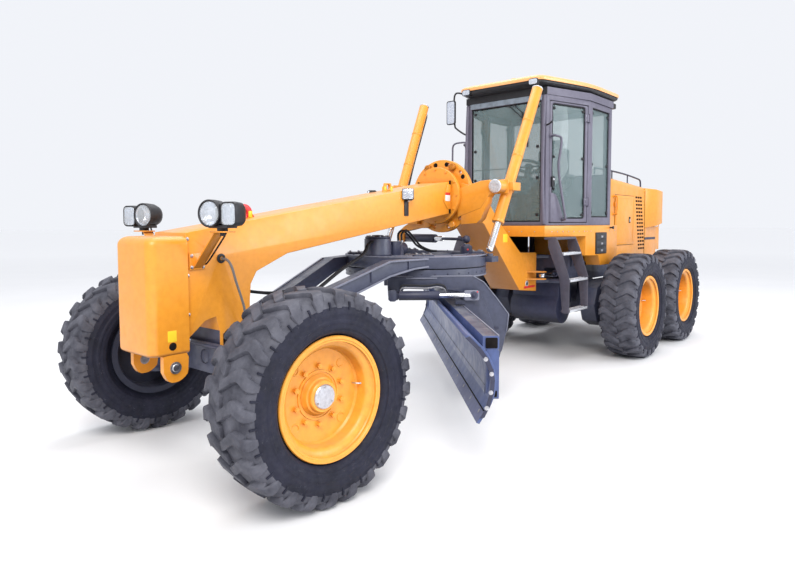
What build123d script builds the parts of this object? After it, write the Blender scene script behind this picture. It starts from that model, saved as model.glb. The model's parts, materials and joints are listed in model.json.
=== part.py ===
from build123d import *
import math
import os

# Motor grader. Millimetres. Machine frame while modelling: +X to the machine's left, -Y to its front,
# +Z up, x = 0 on the centre plane, y = 0 at the front axle, z = 0 on the ground.
# At the end everything moves by (X_OFF, Y_OFF, 0), so the origin is the bottom centre of the whole box.

# ---------------------------------------------------------------- driving dimensions
WHEELBASE = 6219.0          # front axle to tandem centre
TANDEM = 1538.0             # mid axle to rear axle
TRACK = 2156.0              # between tyre centre planes
TYRE_R, TYRE_W = 657.0, 445.0
RIM_R, RIM_W = 318.0, 356.0
HUB_Z = 657.0
STEER_REST = -5.35          # front wheels rest turned by this much about Z
Y_MID = WHEELBASE - TANDEM / 2
Y_REAR = WHEELBASE + TANDEM / 2
Y_PIVOT = 4620.0            # articulation pivot
BALL = (0.0, 300.0, 900.0)  # drawbar ball
Y_CIRC = 2330.0             # circle centre
R_CIRC = 705.0
BLADE_ANG = -47.0           # blade axis from the transverse, about Z
BLADE_L, BLADE_MID = 4270.0, 200.0
PITCH_PIN = (660.0, 530.0)  # blade tilt pin, (behind circle centre, height)
LIFT_YOKE = (698.0, 2940.0, 2060.0)
LIFT_BALL = (670.0, 2650.0, 1450.0)
LIFT_TOP = 1150.0           # from yoke to the top of a lift barrel
LEAN_PIN = (760.0, 600.0)   # (x, z) of a wheel lean pin, its axis is along Y
LEAN_BAR = (760.0, 850.0)   # (x, z) of a lean bar pin
KING_X = 870.0              # kingpin
TIE_PIN = (870.0, 195.0, 580.0)
ART_FRONT = (330.0, 4400.0, 1060.0)
ART_REAR = (300.0, 5320.0, 1060.0)
SHIFT_POST = (400.0, 2640.0, 1540.0)   # centre-shift rod eye on the drawbar
SHIFT_SADDLE = (-590.0, 2900.0, 1540.0)
BEAM_HALF = 200.0
CAB_FLOOR, CAB_TOP = 1670.0, 3170.0
CAB_FRONT, CAB_B, CAB_REAR = 4050.0, 4760.0, 5450.0
CAB_HALF_F, CAB_HALF = 545.0, 750.0
HOOD_HALF = 550.0
REAR_END = 8340.0
NOSE_END = -630.0

X_OFF, Y_OFF = -241.6, -3828.0


# ---------------------------------------------------------------- small makers
def box(x0, x1, y0, y1, z0, z1):
    return Pos((x0 + x1) / 2, (y0 + y1) / 2, (z0 + z1) / 2) * Box(abs(x1 - x0), abs(y1 - y0), abs(z1 - z0))


def prism(plane, pts, a, b):
    """Closed polygon on a plane, drawn out from a to b along the missing axis."""
    if plane == "YZ":
        pts3 = [(a, p[0], p[1]) for p in pts]
        d = (1, 0, 0)
    elif plane == "XZ":
        pts3 = [(p[0], a, p[1]) for p in pts]
        d = (0, 1, 0)
    else:
        pts3 = [(p[0], p[1], a) for p in pts]
        d = (0, 0, 1)
    return extrude(make_face(Polyline(*pts3, close=True)), amount=b - a, dir=d)


def rod(p, q, r, r_in=0.0):
    """Round bar or tube from p to q."""
    p, q = Vector(*p), Vector(*q)
    v = q - p
    loc = Plane(origin=p, z_dir=v).location
    s = loc * Cylinder(r, v.length, align=(Align.CENTER, Align.CENTER, Align.MIN))
    if r_in:
        s -= loc * Pos(0, 0, -1) * Cylinder(r_in, v.length + 2, align=(Align.CENTER, Align.CENTER, Align.MIN))
    return s


def both(s):
    return s, mirror(s, about=Plane.YZ)


def lerp(p, q, t):
    return tuple(p[i] + (q[i] - p[i]) * t for i in range(3))


def along(p, q, d):
    """Point at distance d from p towards q."""
    n = math.dist(p, q)
    return lerp(p, q, d / n)


def fuse(*parts):
    out = parts[0]
    for p in parts[1:]:
        out = out + p
    return out


nodes = {}


def add(name, *solids):
    nodes[name] = solids[0] if len(solids) == 1 else Compound(children=[s for g in solids for s in g.solids()])


# ---------------------------------------------------------------- wheels
def tyre():
    half = TYRE_W / 2
    bead = RIM_W / 2 - 53
    # (radius, across) from one bead over the tread to the other
    pts = [(RIM_R + 3, -bead), (RIM_R + 66, -bead - 35), (RIM_R + 74, -half + 28), (RIM_R + 130, -half), (TYRE_R - 90, -half), (TYRE_R - 22, -half + 42), (TYRE_R, -half + 110),
           (TYRE_R, half - 110), (TYRE_R - 22, half - 42), (TYRE_R - 90, half), (RIM_R + 130, half), (RIM_R + 74, half - 28), (RIM_R + 66, bead + 35), (RIM_R + 3, bead)]
    face = make_face(Polyline(*[(p[1], 0, p[0]) for p in pts], close=True))
    return revolve(face, Axis.X)


def rim(dish):
    """Rim with its disc; +X is outboard. dish = how far the disc sits inboard of the outer flange."""
    half = RIM_W / 2
    flange = RIM_R + 62
    out = half + 4
    prof = [(RIM_R, -half + 46), (flange - 30, -half + 30), (flange - 30, -out), (RIM_R - 10, -out), (RIM_R - 24, -half + 30),
            (RIM_R - 24, out - dish - 22), (80, out - dish - 22), (80, out - dish), (RIM_R - 34, out - dish), (RIM_R - 14, out),
            (flange, out), (flange, half - 12), (RIM_R, half - 46)]
    face = make_face(Polyline(*[(p[1], 0, p[0]) for p in prof], close=True))
    body = revolve(face, Axis.X)
    hub = rod((-half + 96, 0, 0), (out - dish + 70, 0, 0), 128) - rod((-half + 80, 0, 0), (-half + 150, 0, 0), 74)
    return body + hub


def place_wheel(s, side, x, y, z, steer=0.0):
    if side < 0:
        s = mirror(s, about=Plane.YZ)
    s = Pos(side * x, y, z) * s
    if steer:
        k = (side * KING_X, 0, 0)
        s = Pos(*k) * Rot(0, 0, steer) * Pos(-k[0], 0, 0) * s
    return s


TYRE, RIM_F, RIM_R4 = tyre(), rim(150), rim(205)
for name, side, y, dish_rim, steer in (
        ("front_left", 1, 0.0, RIM_F, STEER_REST), ("front_right", -1, 0.0, RIM_F, STEER_REST),
        ("mid_left", 1, Y_MID, RIM_R4, 0.0), ("mid_right", -1, Y_MID, RIM_R4, 0.0),
        ("rear_left", 1, Y_REAR, RIM_R4, 0.0), ("rear_right", -1, Y_REAR, RIM_R4, 0.0)):
    add("tyre_" + name, place_wheel(TYRE, side, TRACK / 2, y, HUB_Z, steer))
    add("rim_" + name, place_wheel(dish_rim, side, TRACK / 2, y, HUB_Z, steer))

# ---------------------------------------------------------------- front axle, lean brackets, knuckles, tie rod, lean bar
axle = prism("XZ", [(-815, 545), (-815, 655), (-720, 700), (-640, 760), (-350, 850), (350, 850), (640, 760), (720, 700), (815, 655),
                    (815, 545), (640, 545), (350, 620), (-350, 620), (-640, 545)], -65, 75)
for s in (1, -1):
    axle -= box(s * 690, s * 830, -38, 38, 500, 720)                 # slot for the lean bracket
    axle -= box(s * 799, s * 840, -80, 90, 500, 720)
    axle += rod((s * LEAN_PIN[0], -66, LEAN_PIN[1]), (s * LEAN_PIN[0], 76, LEAN_PIN[1]), 26)
axle += rod((0, -70, 750), (0, 112, 750), 96) + rod((0, -100, 750), (0, 147, 750), 50)
axle += rod((226, 60, 840), (226, 60, 858), 15)
add("front_axle", axle)

lean = rod((LEAN_PIN[0], -32, LEAN_PIN[1]), (LEAN_PIN[0], 32, LEAN_PIN[1]), 50)
lean += box(LEAN_PIN[0], KING_X, -32, 32, 565, 640)
lean += rod((KING_X, 0, 545), (KING_X, 0, 785), 60)
lean += box(812, 850, -110, -30, 690, 785)
lean += prism("XZ", [(850, 690), (850, 785), (820, 790), (798, 872), (784, 884), (736, 884), (722, 872), (722, 830), (755, 765), (800, 690)], -110, -78)
lean += rod((LEAN_BAR[0], -80, LEAN_BAR[1]), (LEAN_BAR[0], -156, LEAN_BAR[1]), 15)
lean -= rod((LEAN_PIN[0], -40, LEAN_PIN[1]), (LEAN_PIN[0], 40, LEAN_PIN[1]), 27)
lean -= rod((KING_X, 0, 500), (KING_X, 0, 800), 31)
lean_l, lean_r = both(lean)
add("lean_bracket_left", lean_l)
add("lean_bracket_right", lean_r)


def knuckle(side):
    k = rod((KING_X, 0, 500), (KING_X, 0, 536), 68) + rod((KING_X, 0, 794), (KING_X, 0, 826), 68)
    k += box(KING_X, 965, -62, 62, 500, 536) + box(KING_X, 965, -62, 62, 794, 826) + box(938, 965, -62, 62, 500, 826)
    k += rod((KING_X, 0, 510), (KING_X, 0, 820), 30)
    k += rod((960, 0, HUB_Z), (1030, 0, HUB_Z), 70)
    if side < 0:
        k = mirror(k, about=Plane.YZ)
    k = Pos(side * KING_X, 0, 0) * Rot(0, 0, STEER_REST) * Pos(-side * KING_X, 0, 0) * k
    x = side * TIE_PIN[0]
    # steering arm, to the tie rod pin
    k += prism("XY", [(side * 905, 40), (side * 835, 40), (x - side * 32, 150), (x - side * 32, 216), (x - side * 22, 225), (x + side * 22, 225), (x + side * 32, 216), (x + side * 32, 150)], 484, 516)
    return k


kl, kr = knuckle(1), knuckle(-1)
kl -= rod((TIE_PIN[0], TIE_PIN[1], 470), (TIE_PIN[0], TIE_PIN[1], 530), 21)
kr += rod((-TIE_PIN[0], TIE_PIN[1], 510), (-TIE_PIN[0], TIE_PIN[1], 616), 15)
add("knuckle_left", kl)
add("knuckle_right", kr)
tx, ty, tz = TIE_PIN
end = rod((tx, ty, 486), (tx, ty, 525), 20) + rod((tx, ty, 521), (tx, ty, 532), 30)
for y in (ty - 29, ty + 21):
    end += box(tx - 22, tx + 22, y, y + 8, 521, tz + 24)
end += rod((tx, ty - 27, tz), (tx, ty + 27, tz), 15)
add("tie_rod_end", end)
tie = rod((tx, ty - 17, tz), (tx, ty + 17, tz), 36) + rod((tx - 30, ty, tz), (-tx + 38, ty, tz), 23) + rod((-tx, ty, tz - 18), (-tx, ty, tz + 18), 47)
tie -= rod((tx, ty - 30, tz), (tx, ty + 30, tz), 16.5)
tie -= rod((-tx, ty, tz - 30), (-tx, ty, tz + 30), 32)
add("tie_rod", tie)
lx, lz = LEAN_BAR
lbar = rod((-lx, -135, lz), (lx, -135, lz), 20)
for s in (1, -1):
    lbar += rod((s * lx, -153, lz), (s * lx, -115, lz), 36)
    lbar -= rod((s * lx, -165, lz), (s * lx, -105, lz), 16.5)
add("lean_bar", lbar)

# ---------------------------------------------------------------- front frame
# side profile of the gooseneck, (y, z)
GOOSE = [(-355, 1642), (2650, 2125), (3080, 2125), (3330, 1985), (3600, 1720), (4100, 1345), (4500, 1335), (4500, 850), (4080, 895),
         (3550, 1420), (3290, 1690), (3000, 1815), (2664, 1805), (1664, 1649), (510, 1474), (218, 1354), (165, 1265), (155, 1145),
         (155, 672), (120, 672), (120, 900), (80, 960), (-40, 960), (-75, 930), (-75, 640), (-105, 640), (-105, 960), (-130, 1060),
         (-214, 1040), (-336, 943), (-355, 925)]
front = prism("YZ", GOOSE, -BEAM_HALF, BEAM_HALF)
front -= rod((0, -110, 750), (0, 160, 750), 51)
front -= prism("YZ", [(-45, 1080), (-45, 1420), (60, 1420), (60, 1080)], -90, 90)
# wedge cut so the rear lug is narrow
front += rod((0, Y_PIVOT, 985), (0, Y_PIVOT, 1245), 88) + box(-88, 88, 4480, Y_PIVOT, 985, 1245)
front -= rod((0, Y_PIVOT, 900), (0, Y_PIVOT, 1300), 46)
# drawbar ball socket bracket behind the axle
front += box(-120, 120, 150, 196, 780, 1080)
front += box(-45, 45, 190, BALL[1], 996, 1040) + box(-45, 45, 190, BALL[1], 760, 804)
front += rod((0, BALL[1], 996), (0, BALL[1], 1040), 45) + rod((0, BALL[1], 760), (0, BALL[1], 804), 45)
# clevis tabs of the articulation cylinders
for s in (1, -1):
    for z in (1008, 1097):
        front += prism("XY", [(s * 190, 4250), (s * 190, 4460), (s * 300, 4445), (s * 375, 4430), (s * 375, 4370), (s * 300, 4330)], z, z + 15)
# lifting eyes on the beam's top
for y, z in ((250, 1739), (1900, 2004)):
    eye = prism("YZ", [(y - 70, z - 12), (y + 70, z - 12), (y + 40, z + 78), (y - 40, z + 78)], -14, 14) - rod((-20, y, z + 40), (20, y, z + 40), 24)
    front += eye
front += rod((190, -85, 1461), (211, -85, 1461), 24)
add("front_frame", front)

nose = box(-230, 230, NOSE_END, -357, 845, 1620)
nose = fillet(nose.edges().filter_by(Axis.Z).sort_by(Axis.Y)[:2], 85)
nose = fillet(nose.edges().filter_by(lambda e: e.center().Y < -400 and abs(e.center().Z - 1620) < 1), 55)
nose = fillet(nose.edges().filter_by(lambda e: e.center().Y < -400 and abs(e.center().Z - 845) < 1), 30)
for s in (1, -1):
    nose += prism("YZ", [(-540, 850), (-350 - 8, 850), (-358, 720), (-420, 672), (-500, 672), (-540, 740)], s * 180, s * 220)
    nose -= rod((s * 170, -460, 764), (s * 230, -460, 764), 32)
add("nose_box", nose)

# saddle: front flange, index ring, lift arms
saddle = rod((0, 2655, 1985), (0, 2700, 1985), 295) + rod((0, 2760, 1985), (0, 2805, 1985), 380) + rod((0, 2690, 1985), (0, 2830, 1985), 250)
for a in range(0, 12):
    t = math.radians(15 + 30 * a)
    saddle -= rod((335 * math.cos(t), 2750, 1985 + 335 * math.sin(t)), (335 * math.cos(t), 2815, 1985 + 335 * math.sin(t)), 18)
for s in (1, -1):
    saddle += prism("XZ", [(s * 240, 1760), (s * 240, 2050), (s * 520, 2120), (s * 620, 2126), (s * 620, 1985), (s * 520, 1850)], 2712, 2818)
    # yoke carrier round the lift cylinder
    saddle += box(s * 590, s * 770, LIFT_YOKE[1] - 124, LIFT_YOKE[1] - 109, 1990, 2130)
    saddle += rod((s * LIFT_YOKE[0], LIFT_YOKE[1] - 240, LIFT_YOKE[2]), (s * LIFT_YOKE[0], LIFT_YOKE[1] - 109, LIFT_YOKE[2]), 62)
    saddle += box(s * 600, s * LIFT_YOKE[0], 2712, 2818, 2010, 2110)
    # pivot stub for the yoke, along Y
    saddle += rod((s * LIFT_YOKE[0], LIFT_YOKE[1] - 112, LIFT_YOKE[2]), (s * LIFT_YOKE[0], LIFT_YOKE[1] - 92, LIFT_YOKE[2]), 30)
# centre-shift cylinder anchor on the right lower arm
ax, ay, az = SHIFT_SADDLE
ANCHOR = [(-100, 1650), (-120, 1760), (-300, 1790), (-540, 1672), (-640, 1600), (-640, 1500), (-556, 1490), (-548, 1600), (-500, 1612), (-300, 1650)]
saddle += prism("XZ", ANCHOR, 2806, 2836)
saddle += prism("XZ", [(-100, 1650), (-120, 1760), (-300, 1790), (-380, 1751), (-380, 1635), (-300, 1650)], 2790, 2810)
saddle += rod((ax, 2832, az), (ax, ay - 20, az), 14) + Pos(ax, ay, az) * Sphere(30)
saddle -= front
add("saddle", saddle)

# lamps: two headlamps on arms and two work lamps
lamps = []
for s in (1, -1):
    foot = prism("YZ", [(-335, 1395), (-215, 1395), (-215, 1450), (-250, 1505), (-300, 1505), (-335, 1450)], s * 202, s * 214)
    arm = prism("XZ", [(s * 212, 1455), (s * 226, 1455), (s * 420, 1628), (s * 560, 1628), (s * 560, 1640), (s * 414, 1640), (s * 212, 1472)], -305, -240)
    lamp = rod((s * 400, -335, 1765), (s * 400, -215, 1765), 88) + box(s * 400, s * 590, -325, -215, 1690, 1845) + rod((s * 420, -272, 1636), (s * 420, -272, 1700), 20)
    lamps.append(foot + arm + lamp)
    lamps.append(box(s * 201, s * 262, 1880, 1900, 1850, 1875) + box(s * 212, s * 262, 1830, 1880, 1800, 1905))
add("lamps", *lamps)

# braked front axle hose, held at both ends
hose_pts = [(212, -85, 1461), (275, -85, 1461), (318, -76, 1408), (312, -45, 1310), (292, 10, 1200), (272, 62, 1080), (240, 66, 980), (226, 60, 930), (226, 60, 859)]
radii = []
for i in range(1, len(hose_pts) - 1):
    a, b, c = (Vector(*hose_pts[j]) for j in (i - 1, i, i + 1))
    turn = math.radians((b - a).get_angle(c - b))
    radii.append(0.45 * min((b - a).length, (c - b).length) / math.tan(turn / 2))
print("hose radii", [round(r) for r in radii])
path = FilletPolyline(*hose_pts, radius=radii)
hose = sweep(Plane(origin=path @ 0, z_dir=path % 0) * Circle(9), path=path)
print("hose volume ratio", hose.volume / (math.pi * 81 * path.length), "length", path.length)
add("brake_hose", hose)

# ---------------------------------------------------------------- drawbar ball, drawbar, circle
bx, by, bz = BALL
knob = rod((0, by, 810), (0, by, 990), 40) + rod((0, by, 800), (0, by, 1000), 24) + rod((-96, by, bz), (96, by, bz), 30)
front_hole = rod((0, by, 750), (0, by, 1050), 25)
nodes["front_frame"] = nodes["front_frame"] - front_hole
knob = knob + rod((0, by, 756), (0, by, 1044), 24)
add("drawbar_ball", knob)

Z_DB = 1290.0    # underside of the drawbar's circle plate
draw = rod((0, Y_CIRC, Z_DB), (0, Y_CIRC, 1400), R_CIRC) - rod((0, Y_CIRC, Z_DB - 10), (0, Y_CIRC, 1410), 520)
draw += box(-560, 560, Y_CIRC - 90, Y_CIRC + 90, 1320, 1390) + box(-90, 90, Y_CIRC - 640, Y_CIRC + 600, 1320, 1390)
for s in (1, -1):
    # rails of the A-frame: a box from the ball's yoke to the circle plate
    p = [(by - 10, 850), (by + 120, 850), (1500, 1240), (1760, 1292), (2240, 1330), (2240, 1396), (1500, 1380), (by + 60, 990), (by - 10, 985)]
    rail = extrude(make_face(Polyline(*[(0, a, b) for a, b in p], close=True)), amount=110, dir=(1, 0, 0))
    ang = math.degrees(math.atan2(420, 1900))
    rail = Pos(s * 52 - (110 if s < 0 else 0), by, 0) * Rot(0, 0, -s * ang) * Pos(0, -by, 0) * rail
    draw += rail
draw += box(-190, 190, 600, 720, 960, 1080) if False else prism("XY", [(-150, 640), (150, 640), (190, 800), (-190, 800)], 1010, 1100)
# yoke of the ball
for s in (1, -1):
    draw += rod((s * 50, by, bz), (s * 98, by, bz), 64)
draw -= rod((-130, by, bz), (130, by, bz), 31.5)
draw -= rod((0, by, 700), (0, by, 1100), 49)
# circle drive
draw += rod((0, 1760, 1340), (0, 1760, 1560), 125) + box(-70, 70, 1860, 2060, 1385, 1500) + rod((0, 1860, 1450), (0, 2110, 1450), 68)
# centre-shift post and lift ball arms
px_, py_, pz_ = SHIFT_POST
for s in (1, -1):
    draw -= box(s * 612, s * 728, 2440, 2612, 1374, 1420)
draw += box(330, 570, 2560, 2712, 1325, 1380)
draw += rod((px_, py_, 1376), (px_, py_, pz_ - 60), 46) + rod((px_, py_, pz_ - 62), (px_, py_, pz_ - 46), 34)
for s in (1, -1):
    draw += box(s * 480, s * 730, 2590, 2710, 1325, 1374) + box(s * 380, s * 560, 2440, 2710, 1325, 1374)
    draw += rod((s * LIFT_BALL[0], LIFT_BALL[1], 1370), (s * LIFT_BALL[0], LIFT_BALL[1], 1406), 30)
add("drawbar", draw)


def blade_frame(s):
    return Pos(0, Y_CIRC, 0) * Rot(0, 0, BLADE_ANG) * s


# circle: ring and two arms; local x along the blade, local y behind it
ring = rod((0, 0, 1200), (0, 0, 1282), R_CIRC - 5) - rod((0, 0, 1190), (0, 0, 1290), 540)
ARM = [(-310, 1225), (462, 1225), (560, 1170), (690, 1010), (788, 877), (770, 720), (733, 552), (700, 490), (620, 490), (592, 560), (596, 760),
       (570, 880), (490, 1015), (330, 1085), (150, 1120), (-150, 1130), (-215, 1010), (-300, 1010)]
for s in (1, -1):
    ring += prism("YZ", ARM, s * 650, s * 690)
    ring += box(s * 560, s * 690, -330, 420, 1200, 1225)
    ring += rod((s * 645, PITCH_PIN[0], PITCH_PIN[1]), (s * 745, PITCH_PIN[0], PITCH_PIN[1]), 28)
# stiffening plates from the ring's rear to the arms
ring += box(-660, 660, 440, 462, 1150, 1210)
ring += rod((685, -255, 1060), (790, -255, 1060), 16)
add("circle", blade_frame(ring))

# tilt brackets: carry the blade's rails and turn about the pins in the arms
BRACKET = [(700, 492), (716, 560), (600, 900), (520, 1092), (415, 1098), (395, 1016), (300, 1016), (300, 974), (382, 974), (382, 862), (414, 850),
           (414, 640), (382, 625), (382, 534), (325, 534), (325, 500), (420, 490), (610, 480)]
brackets = []
for s in (1, -1):
    b = prism("YZ", BRACKET, s * 700, s * 730) - rod((s * 690, PITCH_PIN[0], PITCH_PIN[1]), (s * 740, PITCH_PIN[0], PITCH_PIN[1]), 29.5)
    if s > 0:
        b += rod((725, 455, 1060), (734, 455, 1060), 30)
        b += box(700, 760, 414, 470, 712, 768) + box(735, 760, 350, 470, 712, 768) + rod((750, 371, 740), (-520, 371, 740), 20)
    brackets.append(b)
add("blade_brackets", *[blade_frame(b) for b in brackets])

# moldboard: curved plate, cutting edge, rails, end plates, side-shift barrel
ua, ub = BLADE_MID - BLADE_L / 2, BLADE_MID + BLADE_L / 2
with BuildSketch(Plane((ua, 0, 0), x_dir=(0, 1, 0), z_dir=(1, 0, 0))) as sk:
    with BuildLine():
        f1 = ThreePointArc((133, 971), (303, 735), (255, 500))
        e1 = Line((255, 500), (205, 421))
        e2 = Line((205, 421), (225, 414))
        e3 = Line((225, 414), (281, 500))
        f2 = ThreePointArc((281, 500), (327, 735), (148, 990))
        e4 = Line((148, 990), (133, 971))
    make_face()
mold = extrude(sk.sketch, amount=BLADE_L)
mold += box(ua + 150, ub - 120, 266, 372, 868, 962) - box(ua + 100, ub - 100, 300, 350, 884, 948)
mold += box(ua + 150, ub - 120, 296, 372, 542, 612)
for u0 in (ua + 150, ub - 150):
    mold += box(u0, u0 + 30, 290, 376, 542, 962)
mold += rod((-1000, 371, 740), (240, 371, 740), 34)
mold -= rod((-980, 371, 740), (260, 371, 740), 24)
for u0 in (-960, -420, 150):
    mold += box(u0, u0 + 30, 312, 345, 712, 768)
add("moldboard", blade_frame(mold))

# pitch cylinder beside the left arm
pb = rod((760, -255, 1060), (760, 150, 1060), 42) - rod((760, -190, 1060), (760, 160, 1060), 26)
pb -= box(700, 820, -320, -210, 1000, 1120)
pb += rod((738, -255, 1060), (784, -255, 1060), 34) + box(742, 780, -255, -200, 1035, 1085)
pb -= rod((700, -255, 1060), (800, -255, 1060), 17)
add("pitch_barrel", blade_frame(pb))
pr = rod((760, 22, 1060), (760, 430, 1060), 23) + rod((740, 455, 1060), (780, 455, 1060), 38)
pr -= rod((700, 455, 1060), (800, 455, 1060), 17)
add("pitch_rod", blade_frame(pr))

# ---------------------------------------------------------------- blade lift cylinders
for name, s in (("left", 1), ("right", -1)):
    yk = (s * LIFT_YOKE[0], LIFT_YOKE[1], LIFT_YOKE[2])
    ball = (s * LIFT_BALL[0], LIFT_BALL[1], LIFT_BALL[2])
    top = along(yk, ball, -LIFT_TOP)
    low = along(yk, ball, 395)
    d = Vector(*ball) - Vector(*yk)
    # yoke: a ring round the barrel, its stub behind the arm, its pins along X
    yoke = box(yk[0] - 116, yk[0] + 116, yk[1] - 106, yk[1] + 40, yk[2] - 40, yk[2] + 40)
    yoke -= box(yk[0] - 94, yk[0] + 94, yk[1] - 91, yk[1] + 50, yk[2] - 60, yk[2] + 60)
    yoke -= rod((yk[0], yk[1] - 110, yk[2]), (yk[0], yk[1] - 85, yk[2]), 31)
    for q in (1, -1):
        yoke += rod((yk[0] + q * 100, yk[1], yk[2]), (yk[0] + q * 68, yk[1], yk[2]), 22)
    add("lift_yoke_" + name, yoke)
    barrel = rod(low, top, 55) - rod(along(yk, ball, 396), along(yk, ball, -LIFT_TOP + 30), 36)
    barrel += rod(along(yk, ball, -38), along(yk, ball, 38), 67) - rod(along(yk, ball, -40), along(yk, ball, 40), 36)
    for q in (1, -1):
        barrel -= rod((yk[0] + q * 120, yk[1], yk[2]), (yk[0] + q * 60, yk[1], yk[2]), 23)
    add("lift_barrel_" + name, barrel)
    rd = rod(along(yk, ball, -LIFT_TOP + 60), along(ball, yk, 20), 32) + Pos(*ball) * Sphere(34)
    add("lift_rod_" + name, rd)

# centre-shift cylinder: barrel on the saddle, rod to the drawbar's post
A, B = SHIFT_SADDLE, SHIFT_POST
AB = math.dist(A, B)
n_pin = (0.25368, 0.96593, 0.0514)     # the barrel's eye turns about this line
eye_a, eye_b = [tuple(A[i] + d * n_pin[i] for i in range(3)) for d in (-20, 20)]
far_a, far_b = [tuple(A[i] + d * n_pin[i] for i in range(3)) for d in (-60, 60)]
cb = rod(along(A, B, 43), along(A, B, 530), 45) - rod(along(A, B, 75), along(A, B, 540), 27) + rod(eye_a, eye_b, 46)
cb -= rod(far_a, far_b, 32)
add("shift_barrel", cb)
add("shift_rod", rod(along(A, B, 80), along(A, B, 662), 26) - rod(along(A, B, 70), along(A, B, 672), 16))
add("shift_rod_eye", rod(along(A, B, 367), along(B, A, 30), 15) + rod(along(B, A, 70), along(B, A, 30), 22) + Pos(*B) * Sphere(40))

# ---------------------------------------------------------------- articulation cylinders
for name, s in (("left", 1), ("right", -1)):
    f = (s * ART_FRONT[0], ART_FRONT[1], ART_FRONT[2])
    r = (s * ART_REAR[0], ART_REAR[1], ART_REAR[2])
    bar = rod(along(r, f, 0), along(r, f, 560), 46) - rod(along(r, f, 60), along(r, f, 570), 27)
    bar += rod((r[0], r[1], r[2] - 42), (r[0], r[1], r[2] + 42), 50)
    bar -= rod((r[0], r[1], r[2] - 50), (r[0], r[1], r[2] + 50), 21)
    add("articulation_barrel_" + name, bar)
    rd = rod(along(r, f, 222), along(f, r, 20), 25) + rod((f[0], f[1], f[2] - 20), (f[0], f[1], f[2] + 20), 36)
    add("articulation_rod_" + name, rd)

# ---------------------------------------------------------------- rear frame
chassis = fuse(*[box(s * 430, s * 490, 4790, 8240, 960, 1150) for s in (1, -1)])
chassis += box(-490, 490, 4790, 4850, 934, 1296) + box(-490, 490, 8180, 8240, 900, 1150) + box(-490, 490, 5790, 5850, 960, 1150)
for z0, z1 in ((1252, 1296), (934, 978)):
    chassis += rod((0, Y_PIVOT, z0), (0, Y_PIVOT, z1), 110) + prism("XY", [(-110, Y_PIVOT), (110, Y_PIVOT), (230, 4800), (-230, 4800)], z0, z1)
chassis += rod((0, Y_PIVOT, 940), (0, Y_PIVOT, 1290), 45)
for s in (1, -1):
    for z0 in (990, 1112):
        chassis += box(s * 240, s * 440, 5250, 5410, z0, z0 + 18)
    chassis += rod((s * ART_REAR[0], ART_REAR[1], 995), (s * ART_REAR[0], ART_REAR[1], 1125), 20)
    chassis += box(s * 240, s * 440, 5385, 5410, 990, 1130)
    chassis -= box(s * 150, s * 438, 4780, 4856, 992, 1128)
    chassis += box(s * 430, s * 490, 6130, 6310, 820, 970)
    # cab mounts
    chassis += box(s * 435, s * 485, 4900, 4960, 1140, 1539) + box(s * 435, s * 485, 5600, 5660, 1140, 1539)
chassis += box(-60, 60, 8240, 8330, 900, 1100) - rod((0, 8285, 880), (0, 8285, 1120), 26) - box(-70, 70, 8250, 8340, 960, 1040)
add("rear_chassis", chassis)

cases, hubs = [], []
for s in (1, -1):
    prof = [(Y_MID - 90, 957), (Y_REAR + 90, 957), (Y_REAR + 300, 870), (Y_REAR + 390, 657), (Y_REAR + 300, 444), (Y_REAR + 90, 357),
            (Y_MID - 90, 357), (Y_MID - 300, 444), (Y_MID - 390, 657), (Y_MID - 300, 870)]
    c = prism("YZ", prof, s * 520, s * 720)
    for y in (Y_MID, Y_REAR):
        c += rod((s * 700, y, HUB_Z), (s * 850, y, HUB_Z), 190) + rod((s * 840, y, HUB_Z), (s * 1045, y, HUB_Z), 70)
    cases.append(c)
add("tandem_cases", *cases)

axle_r = rod((-519, WHEELBASE, HUB_Z), (519, WHEELBASE, HUB_Z), 160) + rod((0, WHEELBASE - 230, HUB_Z), (0, WHEELBASE + 210, HUB_Z), 250)
for s in (1, -1):
    axle_r += box(s * 425, s * 495, WHEELBASE - 88, WHEELBASE + 88, 657, 819)
drivetrain = axle_r

trans = box(-330, 330, 4860, 5240, 560, 940) + rod((-330, 5000, 600), (330, 5000, 600), 205) + box(-200, 200, 5240, 5700, 620, 930)
trans += rod((0, 5700, 690), (0, WHEELBASE - 232, 670), 55) + box(-260, -120, 5100, 5400, 930, 985) + box(120, 260, 5100, 5235, 930, 985)
trans += box(-338, 338, 4920, 5100, 940, 958)
add("drivetrain", drivetrain + trans)

add("engine_block", box(-330, 330, 5900, 7300, 1160, 2050))

# platform under the cab with its side boxes
plat = prism("XY", [(-CAB_HALF_F, 4030), (CAB_HALF_F, 4030), (CAB_HALF, CAB_B - 100), (CAB_HALF, 5700), (-CAB_HALF, 5700), (-CAB_HALF, CAB_B - 100)], 1540, CAB_FLOOR)
for s in (1, -1):
    plat += prism("YZ", [(4700, 1545), (4700, 1305), (5090, 1290), (5150, 1165), (5700, 1165), (5700, 1545)], s * 560, s * CAB_HALF)

# steering column, wheel and pods on the floor
console = box(-60, 60, 4360, 4520, CAB_FLOOR - 5, 1900) + rod((0, 4450, 1880), (0, 4655, 2420), 40)
wheel_c = (0, 4655, 2420)
console += Pos(*wheel_c) * Rot(-21, 0, 0) * (Cylinder(200, 26) - Cylinder(170, 40) + Box(352, 34, 12) + Cylinder(52, 44))
for s in (1, -1):
    console += box(s * 30, s * 230, 4470, 4530, 2020, 2080) + box(s * 150, s * 230, 4440, 4560, 2060, 2230)
console += rod((0, 4450, 1880), (0, 4520, 2080), 60)

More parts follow.
